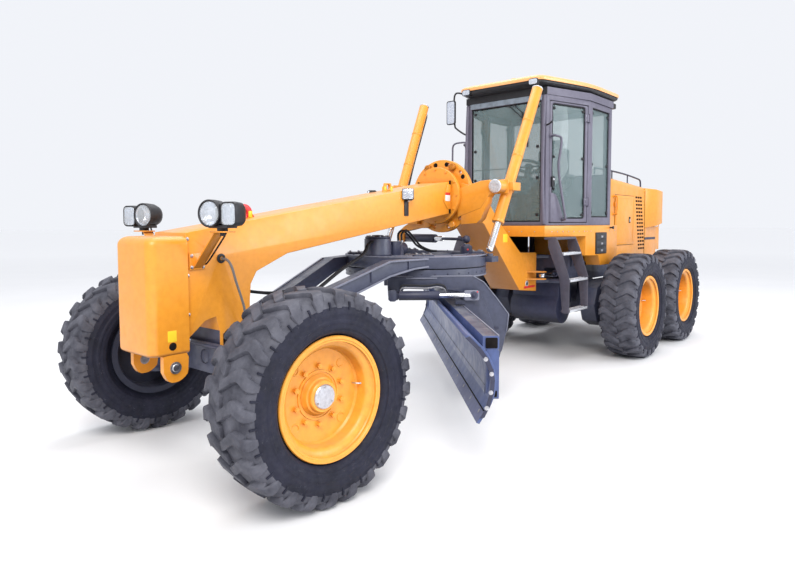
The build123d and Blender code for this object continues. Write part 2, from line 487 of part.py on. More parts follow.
# ladders: side plates and treads
ladders = []
for s, y_lad in ((1, 3930.0), (-1, 4150.0)):     # the right one sits further back, clear of the blade's heel
    lad = None
    for y0 in (y_lad, y_lad + 498):
        plate = prism("XZ", [(s * 640, 1538), (s * 740, 1538), (s * 790, 1420), (s * 900, 1080), (s * 900, 690), (s * 820, 690), (s * 780, 1080), (s * 640, 1420)], y0, y0 + 12)
        lad = plate if lad is None else lad + plate
    for z, x0, x1 in ((700, 800, 900), (1040, 780, 900), (1335, 700, 815)):
        lad += box(s * x0, s * x1, y_lad + 5, y_lad + 505, z, z + 25)
    lad += box(s * 592, s * 740, y_lad, y_lad + 510, 1510, 1538) + box(s * 540, s * 600, y_lad + 270, y_lad + 510, 1510, 1538)
    ladders.append(lad)
add("cab_platform", plat + console, *ladders)

# ---------------------------------------------------------------- cab
def plan(front, half_f, half, yb, rear, z0, z1):
    return prism("XY", [(-half_f, front), (half_f, front), (half, yb), (half, rear), (-half, rear), (-half, yb)], z0, z1)


cab = plan(CAB_FRONT, CAB_HALF_F, CAB_HALF, CAB_B, CAB_REAR, CAB_FLOOR + 2, CAB_TOP)
cab -= plan(CAB_FRONT + 50, CAB_HALF_F - 42, CAB_HALF - 50, CAB_B, CAB_REAR - 50, CAB_FLOOR - 10, CAB_TOP + 10)
cab -= box(-CAB_HALF_F + 70, CAB_HALF_F - 70, CAB_FRONT - 20, CAB_FRONT + 60, 1715, 3110)          # windscreen
cab -= box(-CAB_HALF + 90, CAB_HALF - 90, CAB_REAR - 70, CAB_REAR + 20, 2330, 3090)                  # rear window
for s in (1, -1):
    cab -= box(s * (CAB_HALF - 70), s * (CAB_HALF + 20), CAB_B + 90, CAB_REAR - 70, 1770, 3100)      # quarter window
side_ang = math.degrees(math.atan2(CAB_HALF - CAB_HALF_F, CAB_B - CAB_FRONT))
side_len = math.hypot(CAB_HALF - CAB_HALF_F, CAB_B - CAB_FRONT)


def on_side(s, side):
    """Local: x outward, y from the front post rearward along the cab's side, to the machine frame."""
    if side < 0:
        s = mirror(s, about=Plane.YZ)
    return Pos(side * CAB_HALF_F, CAB_FRONT, 0) * Rot(0, 0, -side * side_ang) * s


DOOR_Z0, DOOR_Z1 = 1700.0, 3110.0
for s in (1, -1):
    cab -= on_side(box(-80, 30, 52, side_len - 22, DOOR_Z0, DOOR_Z1), s)
add("cab_frame", cab)
# roof: a dark visor ring under a shallow crowned cap
roof = plan(3985, 548, 762, CAB_B, 5470, CAB_TOP + 1, 3251) + plan(3900, 545, 785, CAB_B, 5600, 3250, 3345)
roof += plan(3890, 552, 793, CAB_B, 5610, 3344, 3374) + plan(3990, 480, 700, CAB_B, 5490, 3373, 3398) + plan(4130, 370, 560, CAB_B, 5330, 3397, 3412)
add("cab_roof", roof)
glass = [box(-CAB_HALF_F + 71, CAB_HALF_F - 71, CAB_FRONT + 20, CAB_FRONT + 28, 1716, 3109),
         box(-CAB_HALF + 91, CAB_HALF - 91, CAB_REAR - 30, CAB_REAR - 22, 2331, 3089)]
for s in (1, -1):
    glass.append(box(s * (CAB_HALF - 30), s * (CAB_HALF - 22), CAB_B + 91, CAB_REAR - 71, 1771, 3099))
add("cab_windows", *glass)
for name, s in (("left", 1), ("right", -1)):
    d = box(-40, 0, 58, side_len - 30, DOOR_Z0 + 6, DOOR_Z1 - 6)
    d -= box(-60, 20, 106, side_len - 78, DOOR_Z0 + 60, DOOR_Z1 - 56)
    d += box(-24, -16, 100, side_len - 72, DOOR_Z0 + 54, DOOR_Z1 - 50)
    for z in (1900, 2900):
        d += rod((16, side_len - 18, z), (16, side_len - 18, z + 110), 12) + box(2, 16, side_len - 62, side_len - 18, z + 10, z + 100) + box(-4, 10, side_len - 90, side_len - 34, z + 10, z + 100)
    add("cab_door_" + name, on_side(d, s))

seat = box(-260, 260, 4880, 5330, 2060, 2180) + box(-250, 250, 5250, 5370, 2150, 2800) + box(-170, 170, 4960, 5260, 1690, 2065)
for s in (1, -1):
    seat += box(s * 262, s * 330, 4950, 5300, 2280, 2340) + box(s * 255, s * 300, 5240, 5300, 2150, 2330)
add("operator_seat", seat)
# ---------------------------------------------------------------- hood
HOOD_Y0, HOOD_Y1 = 5710.0, 7340.0
hood = prism("YZ", [(HOOD_Y0, 1170), (HOOD_Y1, 1170), (HOOD_Y1, 2255), (HOOD_Y0, 2350)], -HOOD_HALF, HOOD_HALF)
hood = fillet(hood.edges().filter_by(lambda e: abs(e.center().X) > HOOD_HALF - 1 and e.center().Z > 2200 and e.length > 1000), 60)
hood -= prism("YZ", [(HOOD_Y0 - 10, 1100), (HOOD_Y1 + 10, 1100), (HOOD_Y1 + 10, 2214), (HOOD_Y0 - 10, 2310)], -HOOD_HALF + 35, HOOD_HALF - 35)
hood += box(-HOOD_HALF, HOOD_HALF, HOOD_Y0, HOOD_Y0 + 30, 1170, 2300)
DOOR_Y0, DOOR_Y1, HD_Z0, HD_Z1 = 6120.0, 6870.0, 1380.0, 2100.0
for s in (1, -1):
    hood -= box(s * (HOOD_HALF - 60), s * (HOOD_HALF + 20), DOOR_Y0, DOOR_Y1, HD_Z0, HD_Z1)
    hood += box(s * (HOOD_HALF - 35), s * (HOOD_HALF - 20), 6200, 6210, 1200, 1370)
add("hood", hood)
for name, s in (("left", 1), ("right", -1)):
    d = box(s * (HOOD_HALF - 26), s * HOOD_HALF, DOOR_Y0 + 8, DOOR_Y1 - 8, HD_Z0 + 8, HD_Z1 - 8)
    for z in (1500, 1880):
        d += rod((s * (HOOD_HALF + 12), DOOR_Y0 - 8, z), (s * (HOOD_HALF + 12), DOOR_Y0 - 8, z + 90), 9)
        d += box(s * (HOOD_HALF + 2), s * (HOOD_HALF + 12), DOOR_Y0 - 8, DOOR_Y0 + 40, z + 10, z + 80) + box(s * (HOOD_HALF - 6), s * (HOOD_HALF + 12), DOOR_Y0 + 10, DOOR_Y0 + 60, z + 10, z + 80)
    add("hood_door_" + name, d)

# cowl: a flared upper half round the radiators and a narrower lower half
COWL = [(7342, 550), (7560, 655), (7840, 655), (REAR_END, 480)]        # (y, half width)
COWL_IN = [(7375, 500), (7575, 612), (7825, 612), (REAR_END - 40, 446)]


def cowl_plan(p, z0, z1):
    return prism("XY", [(x, y) for y, x in p] + [(-x, y) for y, x in reversed(p)], z0, z1)


cowl = cowl_plan(COWL, 1610, 2300) & prism("YZ", [(7300, 1610), (7840, 1690), (REAR_END + 10, 1690), (REAR_END + 10, 2120), (8280, 2170), (7342, 2238), (7300, 2240)], -800, 800)
cowl -= cowl_plan(COWL_IN, 1500, 2300) & prism("YZ", [(7200, 1500), (REAR_END + 20, 1500), (REAR_END + 20, 2085), (8270, 2132), (7342, 2198), (7200, 2208)], -800, 800)
low = box(-548, 548, 7342, 7890, 1180, 1700) + box(-470, 470, 7880, 8290, 1260, 1700)
low -= box(-512, 512, 7375, 7850, 1100, 1800) + box(-436, 436, 7800, 8255, 1200, 1800)
cowl = cowl + (low - cowl_plan(COWL_IN, 1640, 2300))
cowl -= box(-400, 400, REAR_END - 60, REAR_END + 10, 1740, 2070)
cowl -= box(-HOOD_HALF + 50, HOOD_HALF - 50, 7330, 7400, 1190, 2150)
for i in range(6):
    cowl += box(-410, 410, REAR_END - 36, REAR_END - 20, 1765 + 52 * i, 1780 + 52 * i)
add("rear_cowl", cowl)

# ---------------------------------------------------------------- out
os.makedirs("parts", exist_ok=True)
shift = Pos(X_OFF, Y_OFF, 0)
for name, shape in nodes.items():
    export_step(shift * shape, f"parts/{name}.step")
bb = [(s := shift * shape).bounding_box() for shape in nodes.values()]
lo = [min(b.min.X for b in bb), min(b.min.Y for b in bb), min(b.min.Z for b in bb)]
hi = [max(b.max.X for b in bb), max(b.max.Y for b in bb), max(b.max.Z for b in bb)]
print("nodes", len(nodes), "box", [round(v, 1) for v in lo], [round(v, 1) for v in hi], "centre", [round((a + b) / 2, 1) for a, b in zip(lo, hi)])
for name, shape in nodes.items():
    n = len(shape.solids())
    if n != 1:
        print("solids", name, n)
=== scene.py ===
import json
import math
import random

import bmesh
import bpy
from mathutils import Matrix, Vector


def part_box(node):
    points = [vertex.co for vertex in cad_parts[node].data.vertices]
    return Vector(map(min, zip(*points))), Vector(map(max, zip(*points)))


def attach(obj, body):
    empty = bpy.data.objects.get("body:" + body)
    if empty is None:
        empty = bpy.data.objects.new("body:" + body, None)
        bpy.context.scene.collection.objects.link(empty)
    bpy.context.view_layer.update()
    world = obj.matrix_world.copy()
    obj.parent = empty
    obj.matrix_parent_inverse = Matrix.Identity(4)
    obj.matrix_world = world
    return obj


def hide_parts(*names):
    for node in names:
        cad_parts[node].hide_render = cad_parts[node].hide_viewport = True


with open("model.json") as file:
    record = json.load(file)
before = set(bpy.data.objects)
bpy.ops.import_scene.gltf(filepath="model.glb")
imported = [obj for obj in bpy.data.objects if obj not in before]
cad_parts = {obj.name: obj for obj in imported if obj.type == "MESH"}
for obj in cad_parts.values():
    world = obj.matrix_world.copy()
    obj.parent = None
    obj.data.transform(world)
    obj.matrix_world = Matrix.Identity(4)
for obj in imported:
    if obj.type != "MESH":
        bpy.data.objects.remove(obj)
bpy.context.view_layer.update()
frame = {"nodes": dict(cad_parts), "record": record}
random.seed(7)

# The machine frame in millimetres is the one the CAD is drawn in: +X to the machine's left, -Y to its front,
# x = 0 on the centre plane, y = 0 at the front axle, z = 0 on the ground.
X_OFF, Y_OFF = -241.6, -3828.0


def P(x, y, z):
    return Vector(((x + X_OFF) / 1000, (y + Y_OFF) / 1000, z / 1000))


# ------------------------------------------------------------------ camera
scene = bpy.context.scene
scene.view_settings.view_transform = "Standard"
cam_data = bpy.data.cameras.new("camera")
cam = bpy.data.objects.new("camera", cam_data)
scene.collection.objects.link(cam)
cam.location = (3.6284, -6.3620, 1.694)
yaw, pitch, roll = math.radians(-41.45), math.radians(-3.4), -0.0033
aim = Vector((math.sin(yaw) * math.cos(pitch), math.cos(yaw) * math.cos(pitch), math.sin(pitch)))
cam.rotation_mode = "QUATERNION"
cam.rotation_quaternion = (aim.to_track_quat("-Z", "Y").to_matrix() @ Matrix.Rotation(roll, 3, "Z")).to_quaternion()
cam_data.sensor_fit = "HORIZONTAL"
cam_data.sensor_width = 36.0
cam_data.lens = 27.93
cam_data.shift_x = 0.0170
cam_data.shift_y = -0.0317
cam_data.clip_end = 200.0
scene.camera = cam


# ------------------------------------------------------------------ materials
def new_mat(name):
    m = bpy.data.materials.new(name)
    m.use_nodes = True
    nt = m.node_tree
    nt.nodes.clear()
    out = nt.nodes.new("ShaderNodeOutputMaterial")
    b = nt.nodes.new("ShaderNodeBsdfPrincipled")
    nt.links.new(b.outputs[0], out.inputs[0])
    return m, nt, b


def noise(nt, scale, detail=4.0, rough=0.55, stretch=None):
    tc = nt.nodes.new("ShaderNodeTexCoord")
    n = nt.nodes.new("ShaderNodeTexNoise")
    n.inputs["Scale"].default_value = scale
    n.inputs["Detail"].default_value = detail
    n.inputs["Roughness"].default_value = rough
    src = tc.outputs["Object"]
    if stretch:
        mp = nt.nodes.new("ShaderNodeMapping")
        mp.inputs["Scale"].default_value = stretch
        nt.links.new(src, mp.inputs["Vector"])
        src = mp.outputs[0]
    nt.links.new(src, n.inputs["Vector"])
    return n.outputs["Fac"]


def ramp(nt, fac, a, b, ca=0.0, cb=1.0):
    r = nt.nodes.new("ShaderNodeMapRange")
    r.inputs["From Min"].default_value = a
    r.inputs["From Max"].default_value = b
    r.inputs["To Min"].default_value = ca
    r.inputs["To Max"].default_value = cb
    r.clamp = True
    nt.links.new(fac, r.inputs["Value"])
    return r.outputs[0]


def mix(nt, fac, a, b):
    """Colour mix: a and b are colours or sockets."""
    m = nt.nodes.new("ShaderNodeMix")
    m.data_type = "RGBA"
    for sock, v in ((m.inputs[0], fac), (m.inputs[6], a), (m.inputs[7], b)):
        if isinstance(v, (int, float)):
            sock.default_value = v
        elif isinstance(v, tuple):
            sock.default_value = v if len(v) == 4 else (*v, 1.0)
        else:
            nt.links.new(v, sock)
    return m.outputs[2]


def mul(nt, a, b):
    m = nt.nodes.new("ShaderNodeMath")
    m.operation = "MULTIPLY"
    for sock, v in ((m.inputs[0], a), (m.inputs[1], b)):
        if isinstance(v, (int, float)):
            sock.default_value = v
        else:
            nt.links.new(v, sock)
    return m.outputs[0]


def up_facing(nt, lo=0.55, hi=0.95):
    g = nt.nodes.new("ShaderNodeNewGeometry")
    s = nt.nodes.new("ShaderNodeSeparateXYZ")
    nt.links.new(g.outputs["Normal"], s.inputs[0])
    return ramp(nt, s.outputs["Z"], lo, hi)


def bump(nt, b, fac, strength, dist):
    n = nt.nodes.new("ShaderNodeBump")
    n.inputs["Strength"].default_value = strength
    n.inputs["Distance"].default_value = dist
    nt.links.new(fac, n.inputs["Height"])
    nt.links.new(n.outputs[0], b.inputs["Normal"])


def paint(name, base, dark, light, rough=(0.30, 0.48), dust=(0.42, 0.36, 0.30), dust_amount=0.25, peel=0.12, coat=0.25, metallic=0.0, chips=None, underside_shade=0.62):
    m, nt, b = new_mat(name)
    big = ramp(nt, noise(nt, 1.7, 5), 0.35, 0.70)
    fine = ramp(nt, noise(nt, 23.0, 6, 0.65), 0.42, 0.75)
    col = mix(nt, big, base, light)
    col = mix(nt, mul(nt, fine, 0.35), col, dark)
    dirt = mul(nt, mul(nt, up_facing(nt), ramp(nt, noise(nt, 6.0, 7, 0.6), 0.38, 0.68)), dust_amount)
    col = mix(nt, dirt, col, dust)
    # painted shade: faces that look down are darkened towards a dark tone, as shade under things
    col = mix(nt, mul(nt, up_facing(nt, -0.25, -0.75), underside_shade), col, tuple(c * 0.30 for c in dark))
    if chips:
        spots = ramp(nt, noise(nt, 210.0, 2, 0.5), 0.735, 0.765)
        where = ramp(nt, noise(nt, 5.0, 4, 0.6), 0.50, 0.68)
        col = mix(nt, mul(nt, spots, where), col, chips)
    nt.links.new(col, b.inputs["Base Color"])
    r = ramp(nt, noise(nt, 9.0, 6, 0.6), 0.35, 0.7, rough[0], rough[1])
    nt.links.new(r, b.inputs["Roughness"])
    b.inputs["Metallic"].default_value = metallic
    b.inputs["Coat Weight"].default_value = coat
    b.inputs["Coat Roughness"].default_value = 0.22
    bump(nt, b, noise(nt, 240.0, 3, 0.5), peel, 0.0012)
    return m


YELLOW = paint("yellow_paint", (0.80, 0.300, 0.022), (0.60, 0.19, 0.012), (0.83, 0.335, 0.034), chips=(0.30, 0.12, 0.03), dust_amount=0.30)
# darker yellow with more dust, for the front frame's low parts and its rear end under the cab
YELLOW_LOW = paint("yellow_paint_low", (0.76, 0.285, 0.024), (0.40, 0.13, 0.02), (0.84, 0.33, 0.032), rough=(0.38, 0.6), chips=(0.20, 0.10, 0.04), dust_amount=0.45)
RIM = paint("rim_paint", (0.84, 0.345, 0.032), (0.50, 0.16, 0.015), (0.88, 0.385, 0.045), rough=(0.34, 0.55), chips=(0.24, 0.11, 0.04), dust=(0.45, 0.30, 0.16), dust_amount=0.4)
SLATE = paint("slate_paint", (0.040, 0.046, 0.082), (0.012, 0.014, 0.026), (0.062, 0.070, 0.118), rough=(0.34, 0.6), chips=(0.26, 0.26, 0.28), dust=(0.17, 0.17, 0.19), dust_amount=0.75, coat=0.15)
# lighter slate: painted highlight on flange strips, circle edges and borders; also the pitch rod's end bracket
SLATE_LIGHT = paint("slate_paint_light", (0.150, 0.158, 0.215), (0.060, 0.064, 0.095), (0.210, 0.220, 0.285), rough=(0.36, 0.6), chips=(0.30, 0.30, 0.32), dust=(0.30, 0.30, 0.33), dust_amount=0.5, coat=0.12)
SLATE_DARK = paint("slate_paint_dark", (0.020, 0.023, 0.052), (0.008, 0.009, 0.018), (0.034, 0.038, 0.082), rough=(0.4, 0.65), dust=(0.16, 0.16, 0.20), dust_amount=0.5, coat=0.10)
BLADE = paint("blade_paint", (0.050, 0.078, 0.205), (0.026, 0.036, 0.085), (0.078, 0.115, 0.275), rough=(0.34, 0.55), chips=(0.20, 0.20, 0.24), dust_amount=0.3, dust=(0.30, 0.30, 0.34), coat=0.15)
EDGE = paint("cutting_edge", (0.100, 0.115, 0.215), (0.045, 0.050, 0.090), (0.150, 0.170, 0.290), rough=(0.38, 0.6), chips=(0.10, 0.09, 0.09), dust_amount=0.2, coat=0.05, metallic=0.2)
CAB = paint("cab_paint", (0.105, 0.098, 0.140), (0.050, 0.047, 0.068), (0.150, 0.142, 0.195), rough=(0.40, 0.58), dust=(0.30, 0.28, 0.30), dust_amount=0.4, peel=0.25, coat=0.08)
LADDER = paint("ladder_paint", (0.055, 0.050, 0.072), (0.025, 0.022, 0.032), (0.080, 0.074, 0.100), rough=(0.42, 0.6), dust=(0.26, 0.25, 0.27), dust_amount=0.5, peel=0.3, coat=0.05)
ROOF = paint("roof_paint", (0.90, 0.40, 0.130), (0.74, 0.28, 0.075), (0.93, 0.47, 0.20), dust_amount=0.2, rough=(0.28, 0.42))
RED = paint("red_paint", (0.62, 0.018, 0.022), (0.36, 0.01, 0.012), (0.70, 0.03, 0.03), dust_amount=0.2)
IRON = paint("grey_casting", (0.055, 0.058, 0.085), (0.02, 0.021, 0.032), (0.085, 0.088, 0.115), rough=(0.5, 0.75), dust=(0.22, 0.21, 0.21), dust_amount=0.5, peel=0.9, coat=0.0)
STICKER = paint("sticker_yellow", (0.90, 0.62, 0.02), (0.78, 0.50, 0.02), (0.93, 0.68, 0.05), dust_amount=0.1, peel=0.02)
STICKER_W = paint("sticker_white", (0.80, 0.80, 0.82), (0.65, 0.65, 0.68), (0.85, 0.85, 0.86), dust_amount=0.1, peel=0.02)


# near-black for the rim's inboard side: dirt there, and painted shade
RIM_IN_DIRT_SHADE = paint("rim_inside_dirt_and_shade", (0.012, 0.014, 0.030), (0.006, 0.007, 0.014), (0.022, 0.025, 0.048), rough=(0.5, 0.8), dust=(0.08, 0.08, 0.10), dust_amount=0.5, coat=0.0)


def metal(name, base, rough, spread=0.12, brushed=False, metallic=1.0):
    m, nt, b = new_mat(name)
    n = noise(nt, 60.0, 5, 0.6, (1, 1, 12) if brushed else None)
    dark = tuple(c * 0.62 for c in base)
    nt.links.new(mix(nt, ramp(nt, n, 0.35, 0.8), base, dark), b.inputs["Base Color"])
    nt.links.new(ramp(nt, noise(nt, 14.0, 5), 0.3, 0.75, rough, rough + spread), b.inputs["Roughness"])
    b.inputs["Metallic"].default_value = metallic
    bump(nt, b, noise(nt, 320.0, 2), 0.08, 0.0006)
    return m


CHROME = metal("chrome_rod", (0.86, 0.87, 0.90), 0.10, 0.10)
STEEL = metal("zinc_steel", (0.62, 0.62, 0.66), 0.30, 0.2)
WORN = metal("worn_steel", (0.34, 0.34, 0.37), 0.38, 0.25)
SILVER = metal("silver_cap", (0.74, 0.76, 0.80), 0.34, 0.15, metallic=0.75)


def rubber(name, base, light, dusty=0.35, scratch=False):
    m, nt, b = new_mat(name)
    col = mix(nt, ramp(nt, noise(nt, 7.0, 7, 0.62), 0.35, 0.72), base, light)
    grit = ramp(nt, noise(nt, 90.0, 5, 0.7), 0.60, 0.80)
    col = mix(nt, mul(nt, grit, 0.45 * dusty), col, (0.30, 0.29, 0.28, 1))
    if scratch:
        v = nt.nodes.new("ShaderNodeTexVoronoi")
        v.feature = "DISTANCE_TO_EDGE"
        v.inputs["Scale"].default_value = 30.0
        tc = nt.nodes.new("ShaderNodeTexCoord")
        nt.links.new(tc.outputs["Object"], v.inputs["Vector"])
        lines = ramp(nt, v.outputs["Distance"], 0.0, 0.006, 1.0, 0.0)
        where = ramp(nt, noise(nt, 19.0, 3), 0.60, 0.66)
        col = mix(nt, mul(nt, mul(nt, lines, where), 0.5), col, (0.45, 0.45, 0.5, 1))
    nt.links.new(col, b.inputs["Base Color"])
    nt.links.new(ramp(nt, noise(nt, 30.0, 5), 0.3, 0.7, 0.55, 0.82), b.inputs["Roughness"])
    b.inputs["Specular IOR Level"].default_value = 0.35
    bump(nt, b, noise(nt, 160.0, 6, 0.7), 0.35, 0.0016)
    return m


TREAD = rubber("tyre_tread", (0.040, 0.041, 0.056), (0.120, 0.122, 0.150), 0.6)
# the sidewall's navy tint stands for the blue cast of the shade low on the tyres
WALL = rubber("tyre_wall", (0.007, 0.008, 0.018), (0.016, 0.017, 0.036), 0.12, True)


def plastic(name, base, rough=0.45, grain=0.2, spec=0.4):
    m, nt, b = new_mat(name)
    dark = tuple(c * 0.55 for c in base)
    nt.links.new(mix(nt, ramp(nt, noise(nt, 16.0, 6), 0.4, 0.75), base, dark), b.inputs["Base Color"])
    nt.links.new(ramp(nt, noise(nt, 22.0, 5), 0.3, 0.7, rough - 0.08, rough + 0.12), b.inputs["Roughness"])
    b.inputs["Specular IOR Level"].default_value = spec
    bump(nt, b, noise(nt, 420.0, 2), grain, 0.0006)
    return m


BLACK = plastic("black_plastic", (0.020, 0.020, 0.024))
HOSE = plastic("hose_rubber", (0.016, 0.016, 0.020), 0.5, 0.5)
SEAL = plastic("seal_rubber", (0.012, 0.012, 0.014), 0.6, 0.4, 0.2)
AMBER = plastic("amber_lens", (0.88, 0.38, 0.06), 0.2, 0.05, 0.6)
# near-black painted shade: stands for the shade in holes, slots, open ends and under the platform
PAINTED_SHADE = plastic("painted_shade_black", (0.012, 0.010, 0.010), 0.85, 0.2, 0.1)
CONSOLE = plastic("cab_trim", (0.045, 0.045, 0.052), 0.6, 0.5)


def braid(name, c1, c2):
    m, nt, b = new_mat(name)
    tc = nt.nodes.new("ShaderNodeTexCoord")
    w = nt.nodes.new("ShaderNodeTexWave")
    w.inputs["Scale"].default_value = 52.0
    w.inputs["Distortion"].default_value = 1.5
    w.inputs["Detail"].default_value = 2.0
    w.bands_direction = "Z"
    nt.links.new(tc.outputs["Object"], w.inputs["Vector"])
    col = mix(nt, ramp(nt, w.outputs["Fac"], 0.45, 0.6), c1, c2)
    nt.links.new(col, b.inputs["Base Color"])
    nt.links.new(ramp(nt, noise(nt, 60.0), 0.3, 0.7, 0.5, 0.7), b.inputs["Roughness"])
    bump(nt, b, w.outputs["Fac"], 0.6, 0.002)
    return m


BRAID = braid("braided_hose", (0.035, 0.034, 0.036), (0.36, 0.34, 0.33))


def glass_mat(name, tint, alpha, rough=0.03):
    m, nt, b = new_mat(name)
    col = mix(nt, ramp(nt, noise(nt, 2.0, 4), 0.3, 0.7), tint, tuple(c * 0.8 for c in tint))
    nt.links.new(col, b.inputs["Base Color"])
    b.inputs["Alpha"].default_value = alpha
    b.inputs["Specular IOR Level"].default_value = 0.8
    nt.links.new(ramp(nt, noise(nt, 5.0, 5), 0.35, 0.75, rough, rough + 0.05), b.inputs["Roughness"])
    m.blend_method = "BLEND" if hasattr(m, "blend_method") else m.blend_method
    return m


GLASS = glass_mat("cab_glass", (0.22, 0.32, 0.33), 0.34)
LENS = glass_mat("lamp_glass", (0.75, 0.80, 0.85), 0.30, 0.02)
BAND = plastic("screen_band", (0.20, 0.245, 0.30), 0.14, 0.02, 0.8)


def reflector(name):
    m, nt, b = new_mat(name)
    v = nt.nodes.new("ShaderNodeTexVoronoi")
    v.inputs["Scale"].default_value = 70.0
    tc = nt.nodes.new("ShaderNodeTexCoord")
    nt.links.new(tc.outputs["Object"], v.inputs["Vector"])
    nt.links.new(mix(nt, ramp(nt, v.outputs["Distance"], 0.1, 0.6), (0.92, 0.94, 0.98), (0.62, 0.66, 0.75)), b.inputs["Base Color"])
    b.inputs["Metallic"].default_value = 0.85
    b.inputs["Roughness"].default_value = 0.18
    bump(nt, b, v.outputs["Distance"], 0.5, 0.003)
    return m


MIRROR = reflector("lamp_reflector")


def fabric(name, base, light):
    m, nt, b = new_mat(name)
    tc = nt.nodes.new("ShaderNodeTexCoord")
    acc = None
    for axis in ("X", "Z"):
        w = nt.nodes.new("ShaderNodeTexWave")
        w.bands_direction = axis
        w.inputs["Scale"].default_value = 160.0
        nt.links.new(tc.outputs["Object"], w.inputs["Vector"])
        acc = w.outputs["Fac"] if acc is None else mul(nt, acc, w.outputs["Fac"])
    nt.links.new(mix(nt, acc, base, light), b.inputs["Base Color"])
    nt.links.new(ramp(nt, noise(nt, 30.0), 0.3, 0.7, 0.8, 0.95), b.inputs["Roughness"])
    b.inputs["Sheen Weight"].default_value = 0.3
    bump(nt, b, acc, 0.5, 0.001)
    return m


SEAT = fabric("seat_fabric", (0.035, 0.036, 0.042), (0.10, 0.10, 0.115))


